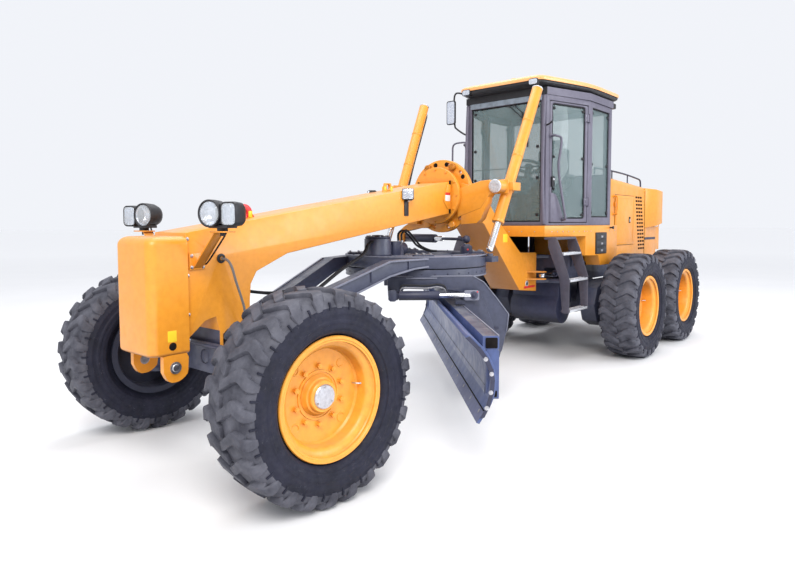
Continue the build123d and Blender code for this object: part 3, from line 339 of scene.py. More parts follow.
# ------------------------------------------------------------------ mesh maker, in machine millimetres
class Piece:
    def __init__(self, name, body, mats, slot, T=None):
        self.name, self.body, self.mats, self.slot = name, body, mats if isinstance(mats, (list, tuple)) else [mats], slot
        self.v, self.f, self.m = [], [], []
        self.T = T

    def add(self, verts, faces, mat=0, T=None):
        n = len(self.v)
        T = T if T is not None else self.T
        if T is not None:
            verts = [T @ Vector(v) for v in verts]
        self.v.extend(tuple(v) for v in verts)
        for f in faces:
            self.f.append(tuple(i + n for i in f))
            self.m.append(mat)

    def box(self, x0, x1, y0, y1, z0, z1, mat=0, T=None):
        v = [(x, y, z) for x in (x0, x1) for y in (y0, y1) for z in (z0, z1)]
        self.add(v, [(0, 1, 3, 2), (4, 6, 7, 5), (0, 4, 5, 1), (2, 3, 7, 6), (0, 2, 6, 4), (1, 5, 7, 3)], mat, T)

    def rbox(self, x0, x1, y0, y1, z0, z1, c, mat=0, T=None, axis="z"):
        """Box with its four edges along one axis cut by c and rounded."""
        if axis == "z":
            a0, a1, b0, b1, h0, h1 = x0, x1, y0, y1, z0, z1
        elif axis == "y":
            a0, a1, b0, b1, h0, h1 = x0, x1, z0, z1, y0, y1
        else:
            a0, a1, b0, b1, h0, h1 = y0, y1, z0, z1, x0, x1
        a0, a1, b0, b1 = min(a0, a1), max(a0, a1), min(b0, b1), max(b0, b1)
        ring = []
        for cx, cy, t0 in ((a1 - c, b1 - c, 0), (a0 + c, b1 - c, 90), (a0 + c, b0 + c, 180), (a1 - c, b0 + c, 270)):
            for k in range(5):
                t = math.radians(t0 + 22.5 * k)
                ring.append((cx + c * math.cos(t), cy + c * math.sin(t)))
        self.extrude2(ring, axis, h0, h1, mat, T)

    def extrude2(self, ring, axis, h0, h1, mat=0, T=None):
        def put(a, b, h):
            return (a, b, h) if axis == "z" else (a, h, b) if axis == "y" else (h, a, b)
        n = len(ring)
        v = [put(a, b, h0) for a, b in ring] + [put(a, b, h1) for a, b in ring]
        f = [tuple(range(n)), tuple(range(n, 2 * n))] + [(i, (i + 1) % n, n + (i + 1) % n, n + i) for i in range(n)]
        self.add(v, f, mat, T)

    def basis(self, d):
        d = Vector(d).normalized()
        up = Vector((0, 0, 1)) if abs(d.z) < 0.9 else Vector((1, 0, 0))
        u = d.cross(up).normalized()
        return u, d.cross(u).normalized()

    def cyl(self, p, q, r, r2=None, n=28, mat=0, T=None, cap=True):
        p, q = Vector(p), Vector(q)
        r2 = r if r2 is None else r2
        u, w = self.basis(q - p)
        v = []
        for c, rr in ((p, r), (q, r2)):
            for i in range(n):
                t = 2 * math.pi * i / n
                v.append(c + u * rr * math.cos(t) + w * rr * math.sin(t))
        f = [(i, (i + 1) % n, n + (i + 1) % n, n + i) for i in range(n)]
        if cap:
            f += [tuple(range(n)), tuple(range(n, 2 * n))]
        self.add(v, f, mat, T)

    def lathe(self, prof, o, d, n=64, mat=0, closed=True, mats=None, T=None):
        """prof: (along, radius) pairs turned about the line through o along d."""
        o, dd = Vector(o), Vector(d).normalized()
        u, w = self.basis(dd)
        k = len(prof)
        v = []
        for i in range(n):
            t = 2 * math.pi * i / n
            e = u * math.cos(t) + w * math.sin(t)
            for a, r in prof:
                v.append(o + dd * a + e * r)
        base = len(self.v)
        rows = k if closed else k - 1
        for j in range(rows):
            f = [(i * k + j, i * k + (j + 1) % k, ((i + 1) % n) * k + (j + 1) % k, ((i + 1) % n) * k + j) for i in range(n)]
            self.add(v if j == 0 else [], [tuple(x + (0 if j == 0 else base - len(self.v)) for x in q) for q in f], mats[j] if mats else mat, T)

    def tube(self, pts, r, n=10, mat=0, sub=6, closed=False, T=None, smooth=True):
        pts = [Vector(p) for p in pts]
        if smooth and len(pts) > 2:
            line = []
            m = len(pts)
            for i in range(m if closed else m - 1):
                p0 = pts[(i - 1) % m] if (closed or i > 0) else pts[0] * 2 - pts[1]
                p1, p2 = pts[i], pts[(i + 1) % m]
                p3 = pts[(i + 2) % m] if (closed or i + 2 < m) else pts[-1] * 2 - pts[-2]
                for s in range(sub):
                    t = s / sub
                    line.append(0.5 * ((2 * p1) + (p2 - p0) * t + (2 * p0 - 5 * p1 + 4 * p2 - p3) * t * t + (3 * p1 - p0 - 3 * p2 + p3) * t ** 3))
            if not closed:
                line.append(pts[-1])
        else:
            line = pts
        k = len(line)
        v = []
        u = None
        for i, c in enumerate(line):
            a = line[(i - 1) % k] if (closed or i > 0) else line[0]
            b = line[(i + 1) % k] if (closed or i < k - 1) else line[-1]
            d = (b - a).normalized()
            if u is None:
                u = self.basis(d)[0]
            u = (u - d * u.dot(d)).normalized()
            w = d.cross(u)
            for j in range(n):
                t = 2 * math.pi * j / n
                v.append(c + u * r * math.cos(t) + w * r * math.sin(t))
        f = []
        for i in range(k if closed else k - 1):
            for j in range(n):
                f.append((i * n + j, i * n + (j + 1) % n, ((i + 1) % k) * n + (j + 1) % n, ((i + 1) % k) * n + j))
        if not closed:
            f += [tuple(range(n)), tuple(range((k - 1) * n, k * n))]
        self.add(v, f, mat, T)

    def bolt(self, p, d, r=11, h=9, mat=0, washer=True, T=None):
        p, d = Vector(p), Vector(d).normalized()
        if washer:
            self.cyl(p, p + d * 3, r * 1.35, n=14, mat=mat, T=T)
        self.cyl(p + d * 2.5, p + d * h, r, n=6, mat=mat, T=T)
        self.cyl(p + d * h, p + d * (h + 2.5), r * 0.62, r * 0.5, n=8, mat=mat, T=T)

    def sphere(self, c, r, mat=0, n=16, T=None, squash=1.0):
        c = Vector(c)
        v = [c + Vector((0, 0, r * squash)), c - Vector((0, 0, r * squash))]
        rows = n // 2
        for i in range(1, rows):
            a = math.pi * i / rows
            for j in range(n):
                t = 2 * math.pi * j / n
                v.append(c + Vector((r * math.sin(a) * math.cos(t), r * math.sin(a) * math.sin(t), r * math.cos(a) * squash)))
        f = []
        for j in range(n):
            f.append((0, 2 + j, 2 + (j + 1) % n))
            f.append((1, 2 + (rows - 2) * n + (j + 1) % n, 2 + (rows - 2) * n + j))
            for i in range(rows - 2):
                f.append((2 + i * n + j, 2 + (i + 1) * n + j, 2 + (i + 1) * n + (j + 1) % n, 2 + i * n + (j + 1) % n))
        self.add(v, f, mat, T)

    def done(self, bevel=0.0, replaces=(), angle=38, segments=2):
        me = bpy.data.meshes.new(self.name)
        me.from_pydata([tuple(P(*v)) for v in self.v], [], self.f)
        for m in self.mats:
            me.materials.append(m)
        me.polygons.foreach_set("material_index", self.m)
        bm = bmesh.new()
        bm.from_mesh(me)
        bmesh.ops.recalc_face_normals(bm, faces=bm.faces)
        bm.to_mesh(me)
        bm.free()
        ob = bpy.data.objects.new(self.name, me)
        scene.collection.objects.link(ob)
        return finish_piece(ob, self.body, bevel, replaces, angle, segments)


def finish_piece(ob, body, bevel=0.0, replaces=(), angle=38, segments=2, subsurf=0):
    if bevel:
        b = ob.modifiers.new("round", "BEVEL")
        b.width = bevel / 1000
        b.segments = segments
        b.limit_method = "ANGLE"
        b.angle_limit = math.radians(30)
        b.use_clamp_overlap = False
    if subsurf:
        s = ob.modifiers.new("smooth", "SUBSURF")
        s.levels = s.render_levels = subsurf
    if bevel or subsurf:
        deps = bpy.context.evaluated_depsgraph_get()
        me = bpy.data.meshes.new_from_object(ob.evaluated_get(deps))
        ob.modifiers.clear()
        ob.data = me
    me = ob.data
    me.polygons.foreach_set("use_smooth", [True] * len(me.polygons))
    me.set_sharp_from_angle(angle=math.radians(angle))
    me.update()
    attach(ob, body)
    if replaces:
        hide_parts(*replaces)
    return ob


NODE_BODY = {n: b for b, ns in frame["record"]["behaviour"]["bodies"].items() for n in ns}
NODE_SLOT = {s["node"]: s["material_slot"] for s in frame["record"]["subparts"]}


def soften(node, mat, bevel=4.0, angle=38, split=None, mats=None):
    """A copy of a CAD node with its edges rounded, standing for that node. split(centre, normal) gives a material index."""
    src = frame["nodes"][node]
    me = src.data.copy()
    bm = bmesh.new()
    bm.from_mesh(me)
    bmesh.ops.remove_doubles(bm, verts=bm.verts, dist=2e-5)
    bmesh.ops.dissolve_limit(bm, angle_limit=math.radians(0.8), verts=bm.verts, edges=bm.edges)
    bmesh.ops.recalc_face_normals(bm, faces=bm.faces)
    bm.to_mesh(me)
    bm.free()
    me.materials.clear()
    for m in (mats or [mat]):
        me.materials.append(m)
    if split:
        for p in me.polygons:
            c = p.center * 1000
            p.material_index = split(Vector((c.x - X_OFF, c.y - Y_OFF, c.z)), p.normal)
    else:
        me.polygons.foreach_set("material_index", [0] * len(me.polygons))
    ob = bpy.data.objects.new(node + "_look", me)
    scene.collection.objects.link(ob)
    return finish_piece(ob, NODE_BODY[node], bevel, (node,), angle)


# ------------------------------------------------------------------ wheels
TRACK, HUB_Z, KING_X, STEER_REST = 2156.0, 657.0, 870.0, -5.35
Y_MID, Y_REAR = 5450.0, 6988.0
WHEELS = (("front_left", 1, 0.0, STEER_REST), ("front_right", -1, 0.0, STEER_REST), ("mid_left", 1, Y_MID, 0.0),
          ("mid_right", -1, Y_MID, 0.0), ("rear_left", 1, Y_REAR, 0.0), ("rear_right", -1, Y_REAR, 0.0))


def wheel_place(side, y, steer):
    """Wheel's own frame (x outboard, hub centre at 0) to the machine's."""
    T = Matrix.Translation((side * TRACK / 2, y, HUB_Z)) @ Matrix.Diagonal((side, 1, 1, 1))
    if steer:
        k = Vector((side * KING_X, 0, 0))
        T = Matrix.Translation(k) @ Matrix.Rotation(math.radians(steer), 4, "Z") @ Matrix.Translation(-k) @ T
    return T


CARCASS_HALF = [(125, 321), (150, 372), (166, 388), (190, 396), (203, 410), (206, 424), (211, 428), (214, 424), (216, 436), (217, 452), (221, 458),
                (222, 474), (218.5, 480), (220, 505), (222.5, 512), (222.5, 520), (219.5, 526), (217, 556), (206, 590), (184, 612), (150, 624), (110, 629), (60, 631.5)]
CARCASS = [(-a, r) for a, r in CARCASS_HALF] + [(0, 632)] + list(reversed(CARCASS_HALF))


def carcass_r(x):
    x = abs(x)
    pts = [(0, 632), (60, 631.5), (110, 629), (150, 624), (184, 612), (206, 590), (217, 556), (222.5, 515)]
    for (a, ra), (b, rb) in zip(pts, pts[1:]):
        if x <= b:
            return ra + (rb - ra) * (x - a) / (b - a)
    return 515


# one lug: stations of (across, turn in degrees, top radius, half width in mm)
LUG = [(-13, -0.6, 657, 27), (30, 1.3, 657, 30), (76, 4.0, 656.5, 31), (116, 6.3, 655.5, 33), (142, 6.9, 654, 36), (170, 5.9, 650, 36),
       (196, 4.4, 641, 35), (212, 3.4, 622, 33), (222, 2.9, 594, 30), (224, 2.7, 566, 25), (221, 2.6, 548, 18)]


def tyre_mesh(p, T, flip):
    p.lathe(CARCASS, (0, 0, 0), (1, 0, 0), n=120, mat=1, T=T, mats=[1] * 17 + [0] * 12 + [1] * 18)
    for side in (1, -1):
        for i in range(24):
            t0 = 15.0 * i + (7.5 if side < 0 else 0)
            v, f = [], []
            for k, (x, turn, top, hw) in enumerate(LUG):
                # the lug's cross direction leans into the shoulder past the bend
                a = math.radians(t0 + flip * turn)
                lean = 0.0 if x < 190 and k < 7 else 1.0
                for d, wide in ((1, 0), (1, 1), (-1, 1), (-1, 0)):
                    half = hw + (9 if wide else 0)
                    if k < 7:
                        r = top if not wide else carcass_r(x) - 6
                        xx = x
                    else:
                        r = top
                        xx = x if not wide else x - 14
                        if wide:
                            xx = min(xx, 210)
                    b = a + d * half / 640.0
                    v.append((side * xx, r * math.sin(b), r * math.cos(b)))
            n = len(LUG)
            for k in range(n - 1):
                for q in range(4):
                    f.append((4 * k + q, 4 * k + (q + 1) % 4, 4 * k + 4 + (q + 1) % 4, 4 * k + 4 + q))
            f += [(0, 1, 2, 3), (4 * n - 4, 4 * n - 3, 4 * n - 2, 4 * n - 1)]
            p.add(v, f, 0, T)
    # narrow bars on the shoulder between the lugs
    for side in (1, -1):
        for i in range(24):
            a = math.radians(15.0 * i + (7.5 if side < 0 else 0) + 7.5 + 3.0 * flip)
            w = 0.011
            v = []
            for x, r in ((217, 588), (224, 560), (221, 540)):
                for b in (a - w, a + w):
                    v.append((side * x, r * math.sin(b), r * math.cos(b)))
                    v.append((side * (x - 12), r * math.sin(b), r * math.cos(b)))
            f = []
            for k in range(2):
                o = 4 * k
                f += [(o, o + 2, o + 6, o + 4), (o + 1, o + 5, o + 7, o + 3), (o, o + 4, o + 5, o + 1), (o + 2, o + 3, o + 7, o + 6)]
            f += [(0, 1, 3, 2), (8, 10, 11, 9)]
            p.add(v, f, 1, T)


def rim_mesh(p, T, dish, front):
    out = 182.0
    face = out - dish
    prof = [(-132, 318), (-148, 350), (-182, 352), (-182, 308), (-162, 294), (face - 22, 294), (face - 22, 80), (face, 80), (face + 2, 150), (face + 6, 240), (face + 12, 286),
            (face + 26, 296), (out - 62, 299), (out - 50, 304), (out - 34, 322), (out - 28, 344), (out - 20, 350), (out - 10, 350), (out - 6, 346), (out - 2, 346),
            (out - 1, 356), (out + 3, 360), (out + 4, 376), (out - 2, 381), (out - 14, 380), (out - 30, 352), (132, 318)]
    # the first seven profile segments, the inboard flange, barrel and back of the disc, take the near-black of dirt and
    # painted shade
    p.lathe(prof, (0, 0, 0), (1, 0, 0), n=96, T=T, mats=[2] * 7 + [0] * (len(prof) - 7))
    if front:
        # hub with a stepped cap
        hub = [(-82, 0.0), (-82, 74), (-82, 128), (face + 10, 128), (face + 14, 122), (face + 38, 112), (face + 44, 104), (face + 66, 100), (face + 70, 94), (face + 70, 0.0)]
        p.lathe([(-80, 75), (-82, 128), (face + 8, 128), (face + 14, 122), (face + 34, 112), (face + 40, 102), (face + 60, 98), (face + 66, 92), (face + 66, 76), (face + 44, 75)], (0, 0, 0), (1, 0, 0), n=64, T=T)
        p.lathe([(face + 40, 1), (face + 40, 76), (face + 70, 76), (face + 76, 70), (face + 78, 40), (face + 80, 1)], (0, 0, 0), (1, 0, 0), n=48, mat=1, T=T)
        for i in range(3):
            a = math.radians(90 + 120 * i)
            p.bolt((face + 66, 62 * math.cos(a), 62 * math.sin(a)), (1, 0, 0), 8, 17, 1, False, T)
        for i in range(10):
            a = math.radians(18 + 36 * i)
            c = (face + 3, 180 * math.cos(a), 180 * math.sin(a))
            p.bolt(c, (1, 0, 0), 17, 26, 0, True, T)
        p.lathe([(face, 140), (face + 8, 142), (face + 9, 152), (face, 155)], (0, 0, 0), (1, 0, 0), n=64, T=T)
    else:
        p.lathe([(-80, 75), (-82, 128), (face + 8, 140), (face + 14, 136), (face + 60, 128), (face + 66, 120), (face + 70, 100), (face + 70, 62), (face + 50, 60)], (0, 0, 0), (1, 0, 0), n=64, T=T)
        p.lathe([(face + 30, 1), (face + 30, 62), (face + 84, 60), (face + 90, 50), (face + 92, 1)], (0, 0, 0), (1, 0, 0), n=40, T=T)
        for i in range(8):
            a = math.radians(22.5 + 45 * i)
            p.bolt((face + 68, 88 * math.cos(a), 88 * math.sin(a)), (1, 0, 0), 9, 9, 0, False, T)
        for i in range(12):
            a = math.radians(15 + 30 * i)
            p.bolt((face + 2, 196 * math.cos(a), 196 * math.sin(a)), (1, 0, 0), 16, 24, 0, True, T)
    # valve stem
    p.tube([(face + 14, 262, 30), (face + 40, 268, 30), (face + 60, 290, 30)], 4.5, 8, 1, T=T)
    p.cyl((face + 52, 283, 30), (face + 64, 296, 30), 6, n=10, mat=1, T=T)
    # hand holes in the disc read as shallow pressed ovals
    for i in range(4):
        a = math.radians(45 + 90 * i)
        c = Vector((face + 7, 246 * math.cos(a), 246 * math.sin(a)))
        p.lathe([(0, 22), (3, 25), (3, 30), (-2, 33)], c, (1, 0, 0), n=20, T=T)


for wname, side, wy, steer in WHEELS:
    T = wheel_place(side, wy, steer)
    body = wname + "_wheel" if not wname.startswith(("mid", "rear", "front")) else wname.split("_")[0] + "_wheel_" + wname.split("_")[1]
    body = NODE_BODY["tyre_" + wname]
    front = wname.startswith("front")
    t = Piece("tyre_" + wname + "_look", body, [TREAD, WALL], "tyre")
    tyre_mesh(t, T, 1)
    t.done(bevel=2.6, replaces=("tyre_" + wname,), angle=34)
    r = Piece("rim_" + wname + "_look", body, [RIM, STEEL, RIM_IN_DIRT_SHADE], "rim_yellow")
    rim_mesh(r, T, 150 if front else 205, front)
    r.done(bevel=0, replaces=("rim_" + wname,), angle=32)


# ------------------------------------------------------------------ the frame's own nodes, edges rounded
def retint(node, *mats):
    ob = frame["nodes"][node]
    ob.data.materials.clear()
    for m in mats:
        ob.data.materials.append(m)


def zsplit(z, lo=0, hi=1):
    return lambda c, n: lo if c.z < z else hi


EYES = ((250, 1739), (1900, 2004))
for node, mat, w in (("front_axle", SLATE, 5), ("lean_bracket_left", SLATE, 4), ("lean_bracket_right", SLATE, 4), ("knuckle_left", SLATE, 4), ("knuckle_right", SLATE, 4),
                     ("tie_rod_end", SLATE, 1.5), ("tie_rod", SLATE, 2), ("lean_bar", SLATE, 2), ("drawbar_ball", WORN, 1.5),
                     ("blade_brackets", SLATE, 3), ("pitch_barrel", SLATE_DARK, 2), ("lift_yoke_left", YELLOW, 4), ("lift_yoke_right", YELLOW, 4),
                     ("lift_barrel_left", YELLOW, 3), ("lift_barrel_right", YELLOW, 3), ("shift_barrel", SLATE_DARK, 3),
                     ("articulation_barrel_left", SLATE_DARK, 3), ("articulation_barrel_right", SLATE_DARK, 3),
                     ("rear_chassis", SLATE, 4), ("drivetrain", SLATE_DARK, 6), ("engine_block", IRON, 10),
                     ("saddle", YELLOW, 5), ("circle", SLATE, 4)):
    soften(node, mat, w)
for node in ("lift_rod_left", "lift_rod_right", "shift_rod", "articulation_rod_left", "articulation_rod_right"):
    soften(node, CHROME, 1.0)
soften("shift_rod_eye", SLATE_DARK, 1.0)


def blade_local(c):
    """Machine point to the blade's own frame: x along the blade, y behind it."""
    return Matrix.Rotation(math.radians(47), 4, "Z") @ (Vector(c) - Vector((0, 2330, 0)))


soften("pitch_rod", CHROME, 1.0, mats=[CHROME, SLATE], split=lambda c, n: 1 if blade_local(c).y > 405 else 0)
soften("tandem_cases", SLATE, 8)
soften("drawbar", SLATE, 4)
# the front frame below 1000 mm and behind y 4000 takes the darker yellow
soften("front_frame", YELLOW, 5, mats=[YELLOW, RED, YELLOW_LOW, SLATE],
       split=lambda c, n: 1 if abs(c.x) < 16 and abs(c.y - 250) < 72 and c.z > 1741 else 3 if c.z < 905 and c.y < 600 else 2 if c.z < 1000 or c.y > 4000 else 0)
soften("moldboard", BLADE, 3, mats=[BLADE, EDGE, SLATE], split=lambda c, n: 1 if c.z < 501 else 2 if (c.z > 520 and blade_local(c).y > 262 and abs(n.z) > 0.8) or blade_local(c).y > 365 else 0)
# faces below 1660 mm that look down, and inward-facing faces within 715 mm of the centre, take the near-black painted
# shade
soften("cab_platform", YELLOW, 4, mats=[YELLOW, LADDER, CONSOLE, PAINTED_SHADE],
       split=lambda c, n: 2 if (abs(c.x) < 250 and c.z > 1672) else 1 if (c.y < 4700 and abs(c.x) > 470 and c.z < 1539) else 3 if c.z < 1660 and (n.z < -0.5 or (abs(c.x) < 715 and n.x * c.x < 0)) else 0)
retint("cab_windows", GLASS)
soften("rear_cowl", YELLOW, 8)
soften("cab_frame", CAB, 5, mats=[CAB, BLACK], split=lambda c, n: 1 if c.y < 4100 and c.z > 3110 else 0)


def sides():
    return (("left", 1), ("right", -1))


# ------------------------------------------------------------------ hood: shell with its door openings, grille slots
def hood_piece():
    p = Piece("hood_look", "rear_frame", [YELLOW, PAINTED_SHADE], NODE_SLOT["hood"])
    y0, y1, w = 5710.0, 7340.0, 550.0

    def top(y):
        return 2350 - 95 * (y - y0) / (y1 - y0)

    def section(y, out=0.0):
        """Outer skin of one side, from the foot up over the rounded shoulder at the top."""
        t = top(y)
        o = [(w, 1170), (w, 1380), (w, 2100), (w, t - 75)]
        for k in range(1, 6):
            a = math.radians(18 * k)
            o.append((w - 75 + 75 * math.cos(a), t - 75 + 75 * math.sin(a)))
        return o

    ys = [y0, 6120, 6870, 6990, 7050, 7110, 7170, 7230, 7290, y1]
    base = len(p.v)
    rings = []
    for y in ys:
        o = section(y)
        half = [(x, y, z) for x, z in o] + [(300, y, top(y) + 4), (0, y, top(y) + 6)]
        inner = [(x - 34 if x > 500 else x - 20, y, z - (0 if z < 2200 else 34)) for x, _, z in half[:-2]] + [(300, y, top(y) - 32), (0, y, top(y) - 32)]
        rings.append((half, inner))
    n = len(rings[0][0])
    for sgn in (1, -1):
        v, f, m = [], [], []
        for half, inner in rings:
            v += [(sgn * x, y, z) for x, y, z in half] + [(sgn * x, y, z) for x, y, z in inner]
        k = 2 * n
        for a in range(len(ys) - 1):
            for b in range(n - 1):
                if a == 1 and b == 1:
                    continue
                f.append((a * k + b, a * k + b + 1, (a + 1) * k + b + 1, (a + 1) * k + b))
                f.append((a * k + n + b, (a + 1) * k + n + b, (a + 1) * k + n + b + 1, a * k + n + b + 1))
            f.append((a * k, (a + 1) * k, (a + 1) * k + n, a * k + n))
        for b in range(n - 1):
            f.append((b, b + n, b + 1 + n, b + 1))
            e = (len(ys) - 1) * k
            f.append((e + b, e + b + 1, e + b + 1 + n, e + b + n))
        # the door opening's reveal
        a0, a1 = 1 * k, 2 * k
        f += [(a0 + 1, a0 + 2, a0 + 2 + n, a0 + 1 + n), (a1 + 1, a1 + 1 + n, a1 + 2 + n, a1 + 2), (a0 + 1, a0 + 1 + n, a1 + 1 + n, a1 + 1), (a0 + 2, a1 + 2, a1 + 2 + n, a0 + 2 + n)]
        p.add(v, f, 0)
    # front wall
    p.box(-515, 515, y0 + 2, y0 + 30, 1172, 2290, 0)
    for sgn in (1, -1):
        p.box(sgn * 515, sgn * 530, 6200, 6210, 1200, 1370, 0)
    return p.done(bevel=2.0, replaces=("hood",), angle=30)


hood_piece()


def hood_trim():
    for name, sgn in sides():
        p = Piece("hood_trim_" + name, "rear_frame", [YELLOW, PAINTED_SHADE, SLATE_DARK, STEEL, SEAL], NODE_SLOT["hood"])
        X = sgn * 551.5
        # three columns of slots, leaning back towards the foot; each slot is a thin near-black patch of painted shade
        # standing for the opening, under a yellow lip
        for c in range(3):
            for r in range(15):
                z = 2085 - 55 * r
                y = 6962 + 95 * c + (2085 - z) * 0.20
                p.rbox(min(X, X - sgn * 3), max(X, X - sgn * 3), y - 37, y + 37, z - 16, z + 12, 9, 1, axis="x")
                p.rbox(min(X, X + sgn * 3), max(X, X + sgn * 3), y - 38, y + 38, z + 12, z + 17, 2, 0, axis="x")
        # grab handle ahead of the door, foot strip, bolts
        hx = sgn * 604
        p.tube([(sgn * 549, 6072, 2070), (hx - sgn * 10, 6072, 2070), (hx, 6072, 2060), (hx, 6078, 1960), (hx, 6078, 1860), (hx, 6072, 1835), (hx - sgn * 10, 6072, 1824), (sgn * 549, 6072, 1824)], 11, 12, 0, sub=4)
        for z in (2070, 1824):
            p.cyl((sgn * 549, 6072, z), (sgn * 556, 6072, z), 24, n=20, mat=0)
        p.rbox(sgn * 549 if sgn > 0 else -556, sgn * 556 if sgn > 0 else -549, 7360, 7830, 1440, 1476, 6, 2, axis="x")
        p.box(min(sgn * 549, sgn * 553), max(sgn * 549, sgn * 553), 7335, 7341, 1185, 2190, 4)
        for y in (5760, 6090, 6900, 7300):
            p.bolt((sgn * 550, y, 1205), (sgn, 0, 0), 9, 8, 3)
        # hand rail on the hood's shoulder
        rx = sgn * 470
        p.tube([(rx, 5590, 2355), (rx, 5600, 2425), (rx, 5660, 2440), (rx, 6200, 2435), (rx, 6736, 2415), (rx, 7230, 2378), (rx, 7320, 2362), (rx, 7352, 2330), (rx, 7362, 2240)], 12, 12, 2, sub=4)
        for y, z in ((6200, 2310), (6800, 2276)):
            p.cyl((rx, y, z), (rx, y, z + 122), 9, n=12, mat=2)
            p.cyl((rx, y, z - 4), (rx, y, z + 14), 22, n=16, mat=2)
        p.done(bevel=0, angle=35)
        d = Piece("hood_door_trim_" + name, "hood_door_" + name, [SEAL, STEEL, YELLOW], NODE_SLOT["hood_door_" + name])
        x0, x1 = sgn * 549, sgn * 552.5
        d.rbox(min(sgn * 560, sgn * 564), max(sgn * 560, sgn * 564), 6640, 6700, 1700, 1790, 10, 0, axis="x")
        d.rbox(min(sgn * 563, sgn * 569), max(sgn * 563, sgn * 569), 6650, 6690, 1715, 1760, 6, 1, axis="x")
        # pressed frame line
        for a, b, c_, e in ((6160, 6830, 1420, 1428), (6160, 6830, 2052, 2060)):
            d.rbox(min(sgn * 560, sgn * 563), max(sgn * 560, sgn * 563), a, b, c_, e, 3, 2, axis="x")
        for a, b in ((6160, 6168), (6822, 6830)):
            d.rbox(min(sgn * 560, sgn * 563), max(sgn * 560, sgn * 563), a, b, 1420, 2060, 3, 2, axis="x")
        d.done(bevel=0, angle=35)


hood_trim()


def hood_doors():
    for name, sgn in sides():
        body = "hood_door_" + name
        p = Piece(body + "_look", body, [YELLOW, STEEL, SEAL], NODE_SLOT[body])
        p.rbox(min(sgn * 550.5, sgn * 561), max(sgn * 550.5, sgn * 561), 6127, 6863, 1387, 2093, 14, 0, axis="x")
        p.rbox(min(sgn * 548, sgn * 550.5), max(sgn * 548, sgn * 550.5), 6134, 6856, 1394, 2086, 10, 2, axis="x")
        for z in (1520, 1960):
            p.cyl((sgn * 562, 6112, z - 32), (sgn * 562, 6112, z + 32), 9, n=18, mat=0)
            p.box(min(sgn * 558, sgn * 565), max(sgn * 558, sgn * 565), 6112, 6150, z - 26, z + 26, 0)
            for q in (-14, 14):
                p.bolt((sgn * 565, 6138, z + q), (sgn, 0, 0), 5, 4, 1, False)
        p.done(bevel=2.2, replaces=(body,), angle=32)


hood_doors()


# ------------------------------------------------------------------ cab doors: full pane in a thin frame
SIDE_ANG, SIDE_LEN = 16.1, 739.0


def side_frame(sgn):
    return Matrix.Translation((sgn * 545, 4050, 0)) @ Matrix.Rotation(math.radians(-sgn * SIDE_ANG), 4, "Z") @ Matrix.Diagonal((sgn, 1, 1, 1))


